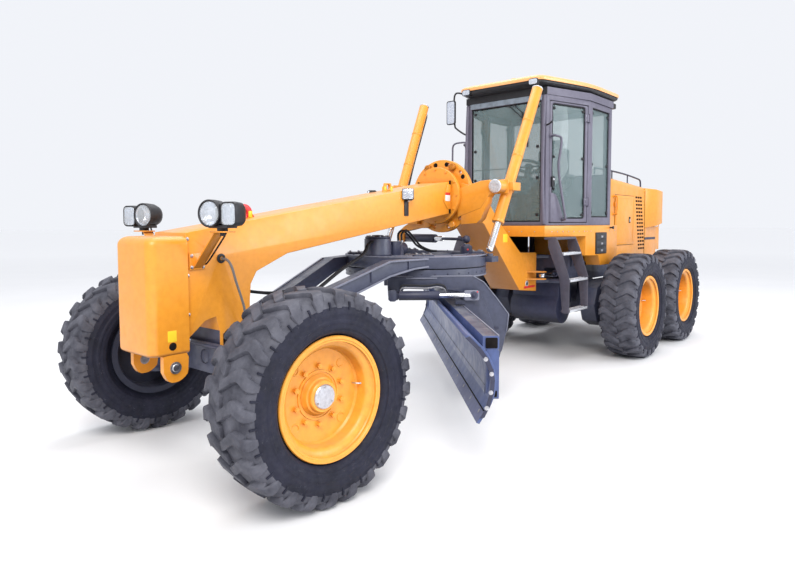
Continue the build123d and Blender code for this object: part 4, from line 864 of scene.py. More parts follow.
def door_piece(name, sgn):
    T = side_frame(sgn)
    body = "cab_door_" + name
    p = Piece(body + "_look", body, [CAB, GLASS, SEAL, BLACK, STEEL], NODE_SLOT[body], T)
    y0, y1, z0, z1 = 58.0, 709.0, 1706.0, 3104.0
    hy0, hy1, hz0, hz1 = 100.0, 667.0, 1752.0, 3080.0

    def ring(x, ya, yb, za, zb, c):
        out = []
        for cy, cz, t0 in ((yb - c, zb - c, 0), (ya + c, zb - c, 90), (ya + c, za + c, 180), (yb - c, za + c, 270)):
            for k in range(5):
                t = math.radians(t0 + 22.5 * k)
                out.append((x, cy + c * math.cos(t), cz + c * math.sin(t)))
        return out
    rows = [ring(-40, y0, y1, z0, z1, 18), ring(-6, y0, y1, z0, z1, 18), ring(0, y0 + 6, y1 - 6, z0 + 6, z1 - 6, 16), ring(0, hy0 - 8, hy1 + 8, hz0 - 8, hz1 + 8, 34),
            ring(-8, hy0, hy1, hz0, hz1, 30), ring(-34, hy0, hy1, hz0, hz1, 30), ring(-40, hy0 - 6, hy1 + 6, hz0 - 6, hz1 + 6, 34)]
    n = 20
    v = [q for r in rows for q in r]
    f = []
    for a in range(len(rows)):
        b = (a + 1) % len(rows)
        for i in range(n):
            f.append((a * n + i, a * n + (i + 1) % n, b * n + (i + 1) % n, b * n + i))
    p.add(v, f, 0)
    # rubber seal and pane
    s0, s1 = ring(-10, hy0 + 1, hy1 - 1, hz0 + 1, hz1 - 1, 29), ring(-26, hy0 + 1, hy1 - 1, hz0 + 1, hz1 - 1, 29)
    s2, s3 = ring(-26, hy0 + 15, hy1 - 15, hz0 + 15, hz1 - 15, 18), ring(-10, hy0 + 15, hy1 - 15, hz0 + 15, hz1 - 15, 18)
    v = s0 + s1 + s2 + s3
    f = [(a * n + i, a * n + (i + 1) % n, ((a + 1) % 4) * n + (i + 1) % n, ((a + 1) % 4) * n + i) for a in range(4) for i in range(n)]
    p.add(v, f, 2)
    p.add(ring(-16, hy0 + 8, hy1 - 8, hz0 + 8, hz1 - 8, 22) + ring(-22, hy0 + 8, hy1 - 8, hz0 + 8, hz1 - 8, 22),
          [tuple(range(n)), tuple(range(n, 2 * n))] + [(i, (i + 1) % n, n + (i + 1) % n, n + i) for i in range(n)], 1)
    # hinges, as the CAD has them
    for z in (1900, 2900, 2420):
        if z != 2420:
            p.cyl((16, SIDE_LEN - 18, z), (16, SIDE_LEN - 18, z + 110), 12, n=20, mat=0)
            p.box(2, 16, SIDE_LEN - 62, SIDE_LEN - 18, z + 10, z + 100, 0)
            p.box(-4, 10, SIDE_LEN - 90, SIDE_LEN - 34, z + 10, z + 100, 0)
            for q in (30, 80):
                p.bolt((10, SIDE_LEN - 76, z + q), (1, 0, 0), 6, 5, 4, False)
    # pane clamps
    for y, z in ((140, 3030), (632, 3030), (140, 2470), (632, 2470), (140, 2100), (632, 1800)):
        p.cyl((-16, y, z), (-8, y, z), 19, 17, n=20, mat=3)
        p.cyl((-8, y, z), (-2, y, z), 10, 8, n=12, mat=3)
    # lower corner panel, lock, pull
    p.extrude2([(70, 1712), (300, 1712), (286, 1765), (250, 1860), (205, 1960), (160, 2030), (112, 2050), (70, 2050)], "x", -12, 8, 0)
    p.rbox(2, 26, 76, 118, 2120, 2240, 10, 3, axis="x")
    p.cyl((24, 97, 2205), (34, 97, 2205), 13, n=18, mat=4)
    # hand rail
    p.tube([(-2, 76, 2700), (44, 76, 2704), (62, 96, 2700), (64, 160, 2688), (64, 178, 2640), (62, 160, 2500), (60, 138, 2367), (60, 160, 2200), (60, 205, 2000), (60, 255, 1800), (52, 268, 1748), (6, 268, 1742)], 14, 14, 0, sub=5)
    for y, z in ((76, 2700), (268, 1742)):
        p.cyl((0, y, z), (8, y, z), 27, n=20, mat=0)
    return p.done(bevel=1.2, replaces=(body,), angle=32)


for name, sgn in sides():
    door_piece(name, sgn)


# ------------------------------------------------------------------ cab dress: clamps, wipers, mirrors, rails, visor lamps, beacon
def cab_trim():
    p = Piece("cab_trim", "rear_frame", [BLACK, CAB, STEEL, MIRROR, LENS, AMBER, YELLOW, SEAL, STICKER_W, CONSOLE], NODE_SLOT["cab_frame"])
    # windscreen seal and clamps
    for x0, x1, z0, z1 in ((-474, 474, 3096, 3109), (-474, 474, 1716, 1730), (-474, -460, 1730, 3096), (460, 474, 1730, 3096)):
        p.box(x0, x1, 4064, 4082, z0, z1, 7)
    for x in (-425, 425):
        for z in (3050, 2590, 2230, 1800):
            p.cyl((x, 4070, z), (x, 4060, z), 19, 17, n=20, mat=0)
            p.cyl((x, 4061, z), (x, 4054, z), 10, 8, n=12, mat=0)
    # tinted lower band on the windscreen's inside
    p.box(-462, 462, 4080, 4083, 2352, 2362, 7)
    for sgn in (1, -1):
        for y in (4885, 5345):
            for z in (3040, 2420, 1830):
                p.cyl((sgn * 726, y, z), (sgn * 738, y, z), 19, 17, n=20, mat=0)
                p.cyl((sgn * 737, y, z), (sgn * 744, y, z), 10, 8, n=12, mat=0)
        for y0, y1, z0, z1 in ((4851, 5379, 3086, 3099), (4851, 5379, 1771, 1785), (4851, 4864, 1785, 3086), (5366, 5379, 1785, 3086)):
            p.box(sgn * 718, sgn * 734, y0, y1, z0, z1, 7)
        # striker and front post's fold
        p.box(sgn * 500, sgn * 545, 4042, 4052, 1690, 3160, 1)
        p.tube([(sgn * 522, 4046, 3160), (sgn * 520, 4022, 2800), (sgn * 518, 4012, 2390), (sgn * 520, 4020, 2050), (sgn * 522, 4046, 1690)], 20, 14, 1, sub=5)
        # door pull rod stay
        p.cyl((sgn * 752, 5447, 1640), (sgn * 790, 5447, 1640), 11, n=14, mat=0)
        p.cyl((sgn * 788, 5447, 1640), (sgn * 800, 5447, 1640), 20, n=18, mat=0)
        # grab rail ahead of the screen's foot
        p.tube([(sgn * 545, 4040, 2716), (sgn * 600, 4036, 2722), (sgn * 700, 4030, 2716), (sgn * 742, 4030, 2680), (sgn * 748, 4032, 2600), (sgn * 752, 4036, 2480), (sgn * 748, 4040, 2300), (sgn * 700, 4042, 2240), (sgn * 548, 4046, 2236)], 11, 12, 1, sub=5) if sgn < 0 else None
        # mirror loop
    p.tube([(-548, 4046, 3300), (-620, 4042, 3335), (-690, 4038, 3350), (-722, 4036, 3320), (-730, 4036, 3240), (-726, 4036, 3080), (-718, 4038, 2940), (-690, 4040, 2900), (-600, 4044, 2836), (-548, 4046, 2812)], 11, 12, 0, sub=5)
    p.tube([(548, 4046, 2820), (600, 4020, 2830), (640, 4000, 2850)], 10, 12, 0, sub=5)
    p.rbox(-830, -700, 4012, 4034, 2960, 3260, 26, 0, axis="y")
    p.rbox(-820, -710, 4010, 4013, 2972, 3248, 22, 3, axis="y")
    # bent arm of the inside mirror
    p.tube([(-470, 4110, 3150), (-330, 4120, 3060), (-262, 4124, 3000), (-256, 4124, 2900), (-262, 4124, 2700)], 9, 10, 0, sub=4)
    # wipers
    for x0, x1 in ((52, 262), (118, 330)):
        p.cyl((x0, 4068, 3106), (x0, 4052, 3106), 20, n=18, mat=0)
        p.tube([(x0, 4050, 3106), ((x0 + x1) / 2 - 6, 4046, 3010), (x1 - 20, 4050, 2930)], 6, 8, 0, sub=3)
        p.rbox(x1 - 36, x1 - 22, 4052, 4066, 2590, 3010, 4, 0, axis="y")
    # visor lamps in their corners, rear work lamp
    for sgn in (1, -1):
        c = Vector((sgn * 452, 3898, 3298))
        p.rbox(c.x - 58, c.x + 58, 3892, 3960, 3262, 3336, 22, 0, axis="y")
        p.rbox(c.x - 50, c.x + 50, 3886, 3893, 3270, 3328, 18, 3, axis="y")
        p.rbox(c.x - 48, c.x + 48, 3884, 3887, 3272, 3326, 17, 4, axis="y")
        q = Vector((sgn * 700, 5540, 3220))
        p.rbox(q.x - 52, q.x + 52, q.y - 30, q.y + 34, 3180, 3249, 14, 0, axis="y")
        p.rbox(q.x - 44, q.x + 44, q.y + 33, q.y + 37, 3188, 3240, 12, 3, axis="y")
        p.rbox(q.x - 43, q.x + 43, q.y + 37, q.y + 39, 3189, 3239, 12, 4, axis="y")
    # beacon on the cap
    p.lathe([(0, 0.5), (0, 62), (10, 64), (16, 58), (20, 52), (20, 0.5)], (-40, 4330, 3406), (0, 0, 1), n=36, mat=0)
    p.lathe([(20, 0.5), (20, 50), (44, 50), (60, 47), (72, 38), (78, 20), (80, 0.5)], (-40, 4330, 3406), (0, 0, 1), n=36, mat=5)
    # plates under the screen
    p.rbox(-190, -60, 4044, 4049, 3118, 3150, 4, 8, axis="y")
    p.done(bevel=0.8, angle=34)


cab_trim()


# ------------------------------------------------------------------ seat and controls
def seat_piece():
    """Cushions are closed crowned forms with a seam line, built vertex by vertex and smoothed."""
    def cushion(name, ctr, half, crown, axis_up, mat, seam=0.86, tilt=0.0):
        bm = bmesh.new()
        nx, ny = 12, 12
        hx, hy, hz = half
        grid = {}
        for side in (1, -1):
            for i in range(nx + 1):
                for j in range(ny + 1):
                    u, w = 2 * i / nx - 1, 2 * j / ny - 1
                    # squircle plan
                    k = 0.86 + 0.14 * (1 - abs(u * w))
                    x, y = u * hx * k, w * hy * k
                    edge = max(abs(u), abs(w))
                    bulge = (1 - u * u) ** 0.55 * (1 - w * w) ** 0.55 if edge < 1 else 0.0
                    groove = -9 if (abs(abs(u) - 0.66) < 0.05 and side > 0) else 0
                    h = side * (hz + (crown if side > 0 else 3) * bulge) + groove
                    if edge >= 1:
                        h = side * hz * 0.62
                    grid[(side, i, j)] = bm.verts.new((x, y, h))
            for i in range(nx):
                for j in range(ny):
                    q = [grid[(side, i, j)], grid[(side, i + 1, j)], grid[(side, i + 1, j + 1)], grid[(side, i, j + 1)]]
                    bm.faces.new(q if side > 0 else q[::-1])
        rim_ = [(i, 0) for i in range(nx)] + [(nx, j) for j in range(ny)] + [(i, ny) for i in range(nx, 0, -1)] + [(0, j) for j in range(ny, 0, -1)]
        for a in range(len(rim_)):
            b = (a + 1) % len(rim_)
            bm.faces.new([grid[(-1, *rim_[a])], grid[(-1, *rim_[b])], grid[(1, *rim_[b])], grid[(1, *rim_[a])]])
        bmesh.ops.recalc_face_normals(bm, faces=bm.faces)
        R = Matrix.Rotation(tilt, 4, "X")
        me = bpy.data.meshes.new(name)
        for v in bm.verts:
            c = R @ v.co
            v.co = P(ctr[0] + c.x, ctr[1] + c.y, ctr[2] + c.z)
        bm.to_mesh(me)
        bm.free()
        me.materials.append(mat)
        ob = bpy.data.objects.new(name, me)
        scene.collection.objects.link(ob)
        ob = finish_piece(ob, "rear_frame", 0, (), 60, subsurf=1)
        return ob
    cushion("seat_cushion", (0, 5095, 2128), (245, 205, 42), 24, "z", SEAT)
    cushion("seat_back", (0, 5305, 2440), (225, 270, 36), 22, "z", SEAT, tilt=math.radians(84))
    cushion("seat_head", (0, 5338, 2762), (150, 62, 30), 12, "z", SEAT, tilt=math.radians(84))
    p = Piece("seat_base", "rear_frame", [CONSOLE, BLACK, STEEL], NODE_SLOT["operator_seat"])
    p.rbox(-232, 232, 4905, 5290, 2062, 2092, 40, 0)
    p.rbox(-170, 170, 4960, 5260, 1690, 1760, 24, 0)
    for k in range(7):
        p.rbox(-150 + 4 * (k % 2), 150 - 4 * (k % 2), 4985 + 4 * (k % 2), 5240 - 4 * (k % 2), 1762 + 42 * k, 1800 + 42 * k, 30, 1)
    p.rbox(-215, 215, 5322, 5366, 2160, 2700, 44, 0, axis="y")
    for sgn in (1, -1):
        p.rbox(sgn * 262, sgn * 330, 4955, 5298, 2290, 2338, 22, 0, axis="y")
        p.tube([(sgn * 250, 5300, 2190), (sgn * 285, 5290, 2230), (sgn * 290, 5270, 2300)], 16, 12, 1)
        p.cyl((sgn * 60, 5345, 2690), (sgn * 60, 5345, 2730), 8, n=12, mat=2)
    p.done(bevel=2, replaces=("operator_seat",), angle=34)


seat_piece()


def console_trim():
    p = Piece("console_trim", "rear_frame", [BLACK, CONSOLE, STEEL, SEAL], NODE_SLOT["cab_platform"])
    T = Matrix.Translation((0, 4655, 2420)) @ Matrix.Rotation(math.radians(-21), 4, "X")
    p.lathe([(-14, 168), (-17, 178), (-16, 196), (-10, 203), (10, 203), (16, 196), (17, 178), (14, 168)], (0, 0, 0), (0, 0, 1), n=56, mat=0, T=T)
    p.lathe([(22, 0.5), (22, 48), (26, 44), (28, 0.5)], (0, 0, 0), (0, 0, 1), n=30, mat=1, T=T)
    for sgn in (1, -1):
        for k in range(4):
            x, y = sgn * (168 + 14 * k), 4476 + 22 * k
            p.cyl((x, y, 2228), (x, y, 2330), 6, 5, n=10, mat=2)
            p.lathe([(0, 0.5), (0, 9), (14, 15), (34, 15), (46, 9), (48, 0.5)], (x, y, 2322), (0, 0, 1), n=16, mat=0)
        p.tube([(sgn * 190, 4560, 2075), (sgn * 250, 4590, 1960), (sgn * 240, 4600, 1800), (sgn * 180, 4580, 1690)], 14, 12, 3)
    p.rbox(-110, 110, 4380, 4440, 2110, 2200, 14, 0)
    for x in (-150, 0, 150):
        p.rbox(x - 44, x + 44, 4270, 4370, 1676, 1690, 12, 0)
        p.tube([(x, 4300, 1690), (x, 4290, 1760), (x, 4330, 1800)], 10, 10, 0)
    # floor mat
    p.rbox(-500, 500, 4240, 4860, 1671, 1675, 20, 3)
    p.done(bevel=0, angle=34)


console_trim()


# ------------------------------------------------------------------ head and work lamps
def lamps_piece():
    p = Piece("lamps_look", "front_frame", [BLACK, YELLOW, STEEL, MIRROR, LENS, SEAL], NODE_SLOT["lamps"])
    for sgn in (1, -1):
        # foot plate, bent flat arm, top plate
        p.extrude2([(-335, 1395), (-215, 1395), (-215, 1418), (-252, 1505), (-335, 1505)], "x", sgn * 202, sgn * 212, 1)
        for y, z in ((-318, 1488), (-318, 1412), (-234, 1410)):
            p.bolt((sgn * 212, y, z), (sgn, 0, 0), 9, 9, 2)
        p.extrude2([(sgn * 208, 1412), (sgn * 216, 1405), (sgn * 470, 1646), (sgn * 458, 1650)], "y", -306, -238, 1)
        p.box(min(sgn * 210, sgn * 216), max(sgn * 210, sgn * 216), -302, -242, 1400, 1440, 1)
        p.rbox(min(sgn * 425, sgn * 585), max(sgn * 425, sgn * 585), -318, -226, 1644, 1653, 10, 1)
        p.cyl((sgn * 505, -272, 1644), (sgn * 505, -272, 1622), 17, n=20, mat=0)
        p.cyl((sgn * 505, -272, 1652), (sgn * 505, -272, 1676), 34, n=24, mat=0)
        p.rbox(min(sgn * 400, sgn * 600), max(sgn * 400, sgn * 600), -312, -222, 1672, 1690, 12, 0)
        # both lamps are turned a little to the machine's left, as they stand
        yaw = Matrix.Translation((sgn * 505, -272, 0)) @ Matrix.Rotation(math.radians(16), 4, "Z") @ Matrix.Translation((-sgn * 505, 272, 0))
        p.T = yaw
        # round lamp
        o, d = (sgn * 450, -335, 1765), (0, 1, 0)
        p.lathe([(10, 76), (-2, 78), (-6, 84), (-2, 88), (10, 88), (40, 88), (90, 84), (125, 70), (140, 52), (146, 30), (147, 0.5), (100, 0.5), (60, 60)], o, d, n=48, mat=0)
        p.lathe([(8, 77), (40, 66), (62, 40), (70, 12), (70, 0.5), (66, 0.5), (58, 38), (36, 62), (6, 74)], o, d, n=40, mat=3)
        p.lathe([(2, 77), (-8, 60), (-15, 30), (-17, 0.5), (-13, 0.5), (-11, 30), (-4, 60), (6, 77)], o, d, n=40, mat=4)
        # rounded rectangular lamp outboard
        cx, cz = sgn * 596, 1760

        def rr(w, h, c):
            out = []
            for ax, az, t0 in ((w - c, h - c, 0), (-w + c, h - c, 90), (-w + c, -h + c, 180), (w - c, -h + c, 270)):
                for k in range(5):
                    t = math.radians(t0 + 22.5 * k)
                    out.append((ax + c * math.cos(t), az + c * math.sin(t)))
            return out
        rows = []
        for y, w, h, c in ((-318, 50, 66, 26), (-326, 52, 68, 28), (-330, 56, 73, 30), (-324, 59, 77, 32), (-290, 59, 78, 32), (-235, 54, 74, 32), (-205, 42, 60, 30), (-196, 26, 40, 20)):
            rows.append([(cx + a, y, cz + b) for a, b in rr(w, h, c)])
        n = 20
        v = [q for r in rows for q in r]
        f = [(a * n + i, a * n + (i + 1) % n, (a + 1) * n + (i + 1) % n, (a + 1) * n + i) for a in range(len(rows) - 1) for i in range(n)]
        f += [tuple(range((len(rows) - 1) * n, len(rows) * n)), tuple(range(n))]
        p.add(v, f, 0)
        p.extrude2([(cx + a, cz + b) for a, b in rr(49, 65, 25)], "y", -321, -318, 3)
        p.extrude2([(cx + a, cz + b) for a, b in rr(51, 67, 27)], "y", -329, -325, 4)
        for k in range(5):
            p.box(cx - 46 + 20 * k, cx - 43 + 20 * k, -324.5, -321, cz - 56, cz + 56, 3)
        # bridge between the two, wire to the beam
        p.rbox(min(sgn * 490, sgn * 545), max(sgn * 490, sgn * 545), -318, -222, 1700, 1822, 10, 0, axis="y")
        p.T = None
        p.tube([(sgn * 480, -236, 1690), (sgn * 474, -226, 1640), (sgn * 380, -229, 1545), (sgn * 260, -229, 1442), (sgn * 214, -225, 1430)], 6, 8, 5, sub=5)
        # side work lamps: bracket, housing with a bezel, four small reflectors
        p.rbox(min(sgn * 200.5, sgn * 208), max(sgn * 200.5, sgn * 208), 1905, 1965, 1770, 1925, 4, 0, axis="x")
        p.rbox(min(sgn * 201, sgn * 262), max(sgn * 201, sgn * 262), 1914, 1956, 1912, 1920, 4, 0)
        p.cyl((sgn * 232, 1935, 1902), (sgn * 232, 1935, 1936), 9, n=14, mat=2)
        p.T = Matrix.Translation((sgn * 232, 1925, 1972)) @ Matrix.Rotation(math.radians(sgn * 38), 4, "Z") @ Matrix.Scale(1.15, 4) @ Matrix.Translation((-sgn * 232, -1865, -1881))
        p.rbox(sgn * 232 - 48, sgn * 232 + 48, 1842, 1896, 1836, 1926, 10, 0, axis="y")
        p.rbox(sgn * 232 - 43, sgn * 232 + 43, 1838, 1843, 1841, 1921, 8, 3, axis="y")
        for a in (-21, 21):
            for b in (-20, 20):
                p.lathe([(0, 17), (8, 10), (9, 0.5), (6, 0.5), (4, 9), (-1, 17)], (sgn * 232 + a, 1838, 1881 + b), (0, 1, 0), n=18, mat=3)
        p.rbox(sgn * 232 - 44, sgn * 232 + 44, 1834, 1838, 1840, 1922, 8, 4, axis="y")
        for k in range(5):
            p.box(sgn * 232 - 40 + 18 * k, sgn * 232 - 36 + 18 * k, 1896, 1904, 1842, 1920, 0)
        p.T = None
    return p.done(bevel=1.0, replaces=("lamps",), angle=34)


lamps_piece()


# ------------------------------------------------------------------ brake hose
def hose_cord():
    pts = [(212, -85, 1461), (275, -85, 1461), (318, -76, 1408), (312, -45, 1310), (292, 10, 1200), (272, 62, 1080), (240, 66, 980), (226, 60, 930), (226, 60, 859)]
    cu = bpy.data.curves.new("brake_hose_run", "CURVE")
    cu.dimensions = "3D"
    sp = cu.splines.new("NURBS")
    sp.points.add(len(pts) - 1)
    for q, c in zip(sp.points, pts):
        q.co = (*P(*c), 1.0)
    sp.order_u = 3
    sp.use_endpoint_u = True
    sp.resolution_u = 12
    cu.bevel_depth = 0.009
    cu.bevel_resolution = 4
    cu.use_fill_caps = True
    cu.materials.append(BRAID)
    ob = bpy.data.objects.new("brake_hose_look", cu)
    scene.collection.objects.link(ob)
    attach(ob, "front_frame")
    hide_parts("brake_hose")
    return ob, pts[0]


hose_ob, hose_exit = hose_cord()


def nose_trim():
    p = Piece("front_trim", "front_frame", [STEEL, STICKER, PAINTED_SHADE, SEAL, BLACK, SLATE, YELLOW, SILVER], NODE_SLOT["front_frame"])
    for sgn in (1, -1):
        # bolts through the nose box's rear edge
        for z in (1601, 1357, 1098, 925):
            p.bolt((sgn * 200, -342, z), (sgn, 0, 0), 9, 10, 0)
        # drain hole, a thin near-black disc of painted shade standing for the opening, and blank patch
        p.cyl((sgn * 229.2, -478, 907), (sgn * 230.8, -478, 907), 27, n=28, mat=2)
        p.lathe([(0, 27), (1.6, 27), (1.6, 31), (0, 31)], (sgn * 229.6, -478, 907), (sgn, 0, 0), n=28, mat=6)
        p.rbox(min(sgn * 229.6, sgn * 231), max(sgn * 229.6, sgn * 231), -512, -450, 938, 1010, 3, 1, axis="x")
        # pin in the tow plate
        p.lathe([(-44, 24), (-44, 34), (0, 34), (3, 40), (9, 40), (9, 26), (14, 22), (14, 0.5), (-44, 0.5)], (sgn * 222, -460, 764), (sgn, 0, 0), n=28, mat=0)
        # beam's side: grommet round the hose, weld lines
        p.lathe([(-8, 12), (-8, 30), (0, 34), (6, 32), (8, 24), (8, 12)], (sgn * 203, -85, 1461), (sgn, 0, 0), n=28, mat=4)
        for y, z in EYES:
            for q in (-46, 46):
                p.rbox(min(sgn * 13.6, sgn * 15.4), max(sgn * 13.6, sgn * 15.4), y + q - 13, y + q + 13, z + 6, z + 44, 3, 1, axis="x")
        # warning patch at the beam's rear shoulder
        p.rbox(min(sgn * 200, sgn * 201.2), max(sgn * 200, sgn * 201.2), 3690, 3790, 1480, 1575, 3, 1, axis="x")
    # hoses along the far side of the leg, behind the axle boss
    for k in range(3):
        x = 60 - 34 * k
        p.tube([(x, 158, 1270 - 8 * k), (x, 190, 1220), (x + 10, 230, 1200), (x + 20, 330, 1180), (x + 10, 470, 1160), (x - 20, 620, 1150), (x - 10, 800, 1170)], 12, 10, 3, sub=5)
    p.done(bevel=0.6, angle=34)


nose_trim()


def saddle_trim():
    p = Piece("saddle_trim", "front_frame", [SILVER, STEEL, YELLOW, RED, SEAL, HOSE, PAINTED_SHADE, STICKER_W, SLATE_DARK], NODE_SLOT["saddle"])
    for k in range(12):
        t = math.radians(30 * k)
        c = (272 * math.cos(t), 2655, 1985 + 272 * math.sin(t))
        if abs(c[2] - 1985) < 400:
            p.bolt(c, (0, -1, 0), 12, 9, 2)
    for sgn in (1, -1):
        x, z = sgn * 698, 2060
        # gimbal cap in front of the arm's end
        p.lathe([(0, 0.5), (0, 58), (-4, 64), (-22, 66), (-26, 62), (-28, 0.5)], (x, 2702, z), (0, 1, 0), n=40, mat=0)
        for k in range(6):
            t = math.radians(60 * k + 20)
            p.bolt((x + 44 * math.cos(t), 2676, z + 44 * math.sin(t)), (0, -1, 0), 6, 6, 1, False)
        # lock pins round the index ring
        for a in (62, 118, 242):
            t = math.radians(a)
            p.lathe([(0, 0.5), (0, 34), (-10, 38), (-34, 38), (-40, 30), (-42, 0.5)], (sgn * abs(335 * math.cos(t)), 2758, 1985 + 335 * math.sin(t)), (0, 1, 0), n=30, mat=0 if a == 62 else 2)
        # deep box arm out to the gimbal
        ring = [(sgn * 285, 1690), (sgn * 470, 1700), (sgn * 520, 1740), (sgn * 592, 1905), (sgn * 606, 1990), (sgn * 606, 2100), (sgn * 470, 2052), (sgn * 285, 2110)]
        p.extrude2(ring, "y", 2716, 2806, 2)
        # slotted end of the beam, its hexagonal boss and a two-colour plate
        X0 = sgn * 200.5
        for z in (2112, 1822):
            p.box(min(X0, X0 + sgn * 2), max(X0, X0 + sgn * 2), 2618, 2652, z - 22, z + 22, 6)
        p.extrude2([(2520, 1950), (2590, 2095), (2640, 2095), (2640, 1845), (2590, 1845), (2530, 1915)], "x", X0, sgn * 208, 2)
        p.box(min(sgn * 208, sgn * 209.5), max(sgn * 208, sgn * 209.5), 2548, 2628, 1985, 2012, 3)
        p.box(min(sgn * 208, sgn * 209.5), max(sgn * 208, sgn * 209.5), 2548, 2628, 1925, 1985, 7)
        # oval windows in the index ring, thin near-black discs of painted shade standing for the openings
        for a in (35, 78):
            t = math.radians(a)
            p.lathe([(0, 0.5), (0, 22), (-2.5, 24), (-2.5, 0.5)], (sgn * 335 * math.cos(t), 2760, 1985 + 335 * math.sin(t)), (0, 1, 0), n=26, mat=6)
    p.done(bevel=0.8, angle=34)


saddle_trim()


# ------------------------------------------------------------------ roof: domed cap over a dark visor
def roof_piece():
    p = Piece("cab_roof_look", "rear_frame", [ROOF, BLACK, CAB, SEAL], NODE_SLOT["cab_roof"])

    def ring(z, inset, yf=3892.0, hf=552.0, hm=793.0, yb=5612.0, r=90.0):
        c = [(hf - inset * 0.9, yf + inset), (hm - inset, 4760.0), (hm - inset, yb - inset), (-hm + inset, yb - inset), (-hm + inset, 4760.0), (-hf + inset * 0.9, yf + inset)]
        rr = [r, 260.0, r * 0.8, r * 0.8, 260.0, r]
        out = []
        for k in range(6):
            a, b, d = Vector(c[k - 1]), Vector(c[k]), Vector(c[(k + 1) % 6])
            p0, p2 = b + (a - b).normalized() * rr[k], b + (d - b).normalized() * rr[k]
            for q in range(7):
                t = q / 6
                v = p0 * (1 - t) ** 2 + b * 2 * t * (1 - t) + p2 * t * t
                out.append((v.x, v.y, z))
        return out
    rows = [(3412, 430, 0), (3411, 340, 0), (3407, 240, 0), (3399, 150, 0), (3387, 76, 0), (3373, 30, 0), (3357, 6, 0), (3338, 0, 0), (3318, 5, 0), (3316, 16, 1), (3306, 12, 1), (3293, 14, 1), (3280, 30, 1), (3262, 90, 1), (3252, 150, 1)]
    v, f, m = [], [], []
    for z, i, _ in rows:
        v += ring(z, i)
    n = 42
    for a in range(len(rows) - 1):
        for i in range(n):
            f.append((a * n + i, a * n + (i + 1) % n, (a + 1) * n + (i + 1) % n, (a + 1) * n + i))
    base = [q[2] for q in rows]
    for a in range(len(rows) - 1):
        p.add(v if a == 0 else [], [tuple(x - (len(p.v) if a else 0) + (0 if a == 0 else b0) for x in q) for q in f[a * n:(a + 1) * n]] if a else f[:n], base[a + 1] if a >= 8 else base[a])
        if a == 0:
            b0 = len(p.v) - len(v)
    # lids of the shell
    p.add(ring(3412, 430), [tuple(range(n))], 0)
    p.add(ring(3252, 150), [tuple(range(n))], 1)
    # header round the cab under the visor
    p.extrude2([(548, 3985 + 70), (762, 4760), (762, 5468), (-762, 5468), (-762, 4760), (-548, 3985 + 70)], "z", 3171, 3256, 2)
    p.box(-546, 546, 4040, 4056, 3178, 3255, 1)
    return p.done(bevel=0, replaces=("cab_roof",), angle=40)


roof_piece()


# ------------------------------------------------------------------ nose: rounded weight box
def nose_piece():
    p = Piece("nose_look", NODE_BODY["nose_box"], [YELLOW, YELLOW_LOW, STEEL], NODE_SLOT["nose_box"])
    b0, b1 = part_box("nose_box")
    yf = b0[1] * 1000 - Y_OFF if False else NOSE_FRONT
    w, yb = 230.0, -357.0

    def ring(z, inset, bot=0.0, rc=62.0):
        ww, f = w - inset, yf + inset
        out = [(ww, yb, z)]
        for k in range(9):
            t = math.radians(11.25 * k)
            out.append((ww - rc + rc * math.cos(t), f + rc - rc * math.sin(t), z))
        out += [(-x, y, z) for x, y, z in reversed(out)]
        return out
    rows = []
    for k in range(7):
        t = math.radians(15 * k)
        rows.append((1620 - 58 * (1 - math.sin(t)), 58 * (1 - math.cos(t))))
    rows = [(1620 - 58 + 58 * math.sin(math.radians(15 * k)), 58 * (1 - math.cos(math.radians(15 * k)))) for k in range(6, -1, -1)]
    rows += [(875 - 30 * math.sin(math.radians(22.5 * k)), 30 * (1 - math.cos(math.radians(22.5 * k)))) for k in range(5)]
    v = []
    for z, i in rows:
        v += ring(z, i)
    n = 20
    f = [tuple(range(n)), tuple(range((len(rows) - 1) * n, len(rows) * n))]
    for a in range(len(rows) - 1):
        for i in range(n):
            f.append((a * n + i, a * n + (i + 1) % n, (a + 1) * n + (i + 1) % n, (a + 1) * n + i))
    p.add(v, f, 0)
    for sgn in (1, -1):
        # tow plates with their bores
        prof = [(-540, 850), (-358, 850), (-366, 716), (-400, 684), (-440, 668), (-482, 668), (-512, 684), (-540, 740)]
        hole = [(-460 + 32 * math.cos(math.radians(a)), 764 + 32 * math.sin(math.radians(a))) for a in range(0, 360, 15)]
        outer = []
        for a in range(0, 360, 15):
            d = Vector((math.cos(math.radians(a)), math.sin(math.radians(a))))
            best = None
            for q in range(len(prof)):
                x1, y1 = prof[q][0] + 460, prof[q][1] - 764
                x2, y2 = prof[(q + 1) % len(prof)][0] + 460, prof[(q + 1) % len(prof)][1] - 764
                det = d.x * (y1 - y2) - d.y * (x1 - x2)
                if abs(det) < 1e-9:
                    continue
                t = (x1 * (y1 - y2) - y1 * (x1 - x2)) / det
                u = (d.x * y1 - d.y * x1) / det
                if t > 0 and -1e-9 <= u <= 1 + 1e-9:
                    best = t if best is None else min(best, t)
            outer.append((-460 + d.x * best, 764 + d.y * best))
        v, f = [], []
        for x in (sgn * 180, sgn * 220):
            v += [(x, a, b) for a, b in outer] + [(x, a, b) for a, b in hole]
        for i in range(24):
            j = (i + 1) % 24
            f += [(i, j, 24 + j, 24 + i), (48 + i, 72 + i, 72 + j, 48 + j), (i, 48 + i, 48 + j, j), (24 + i, 24 + j, 72 + j, 72 + i)]
        p.add(v, f, 0)
    return p.done(bevel=0, replaces=("nose_box",), angle=40)


NOSE_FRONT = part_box("nose_box")[0][1] * 1000 - Y_OFF
nose_piece()


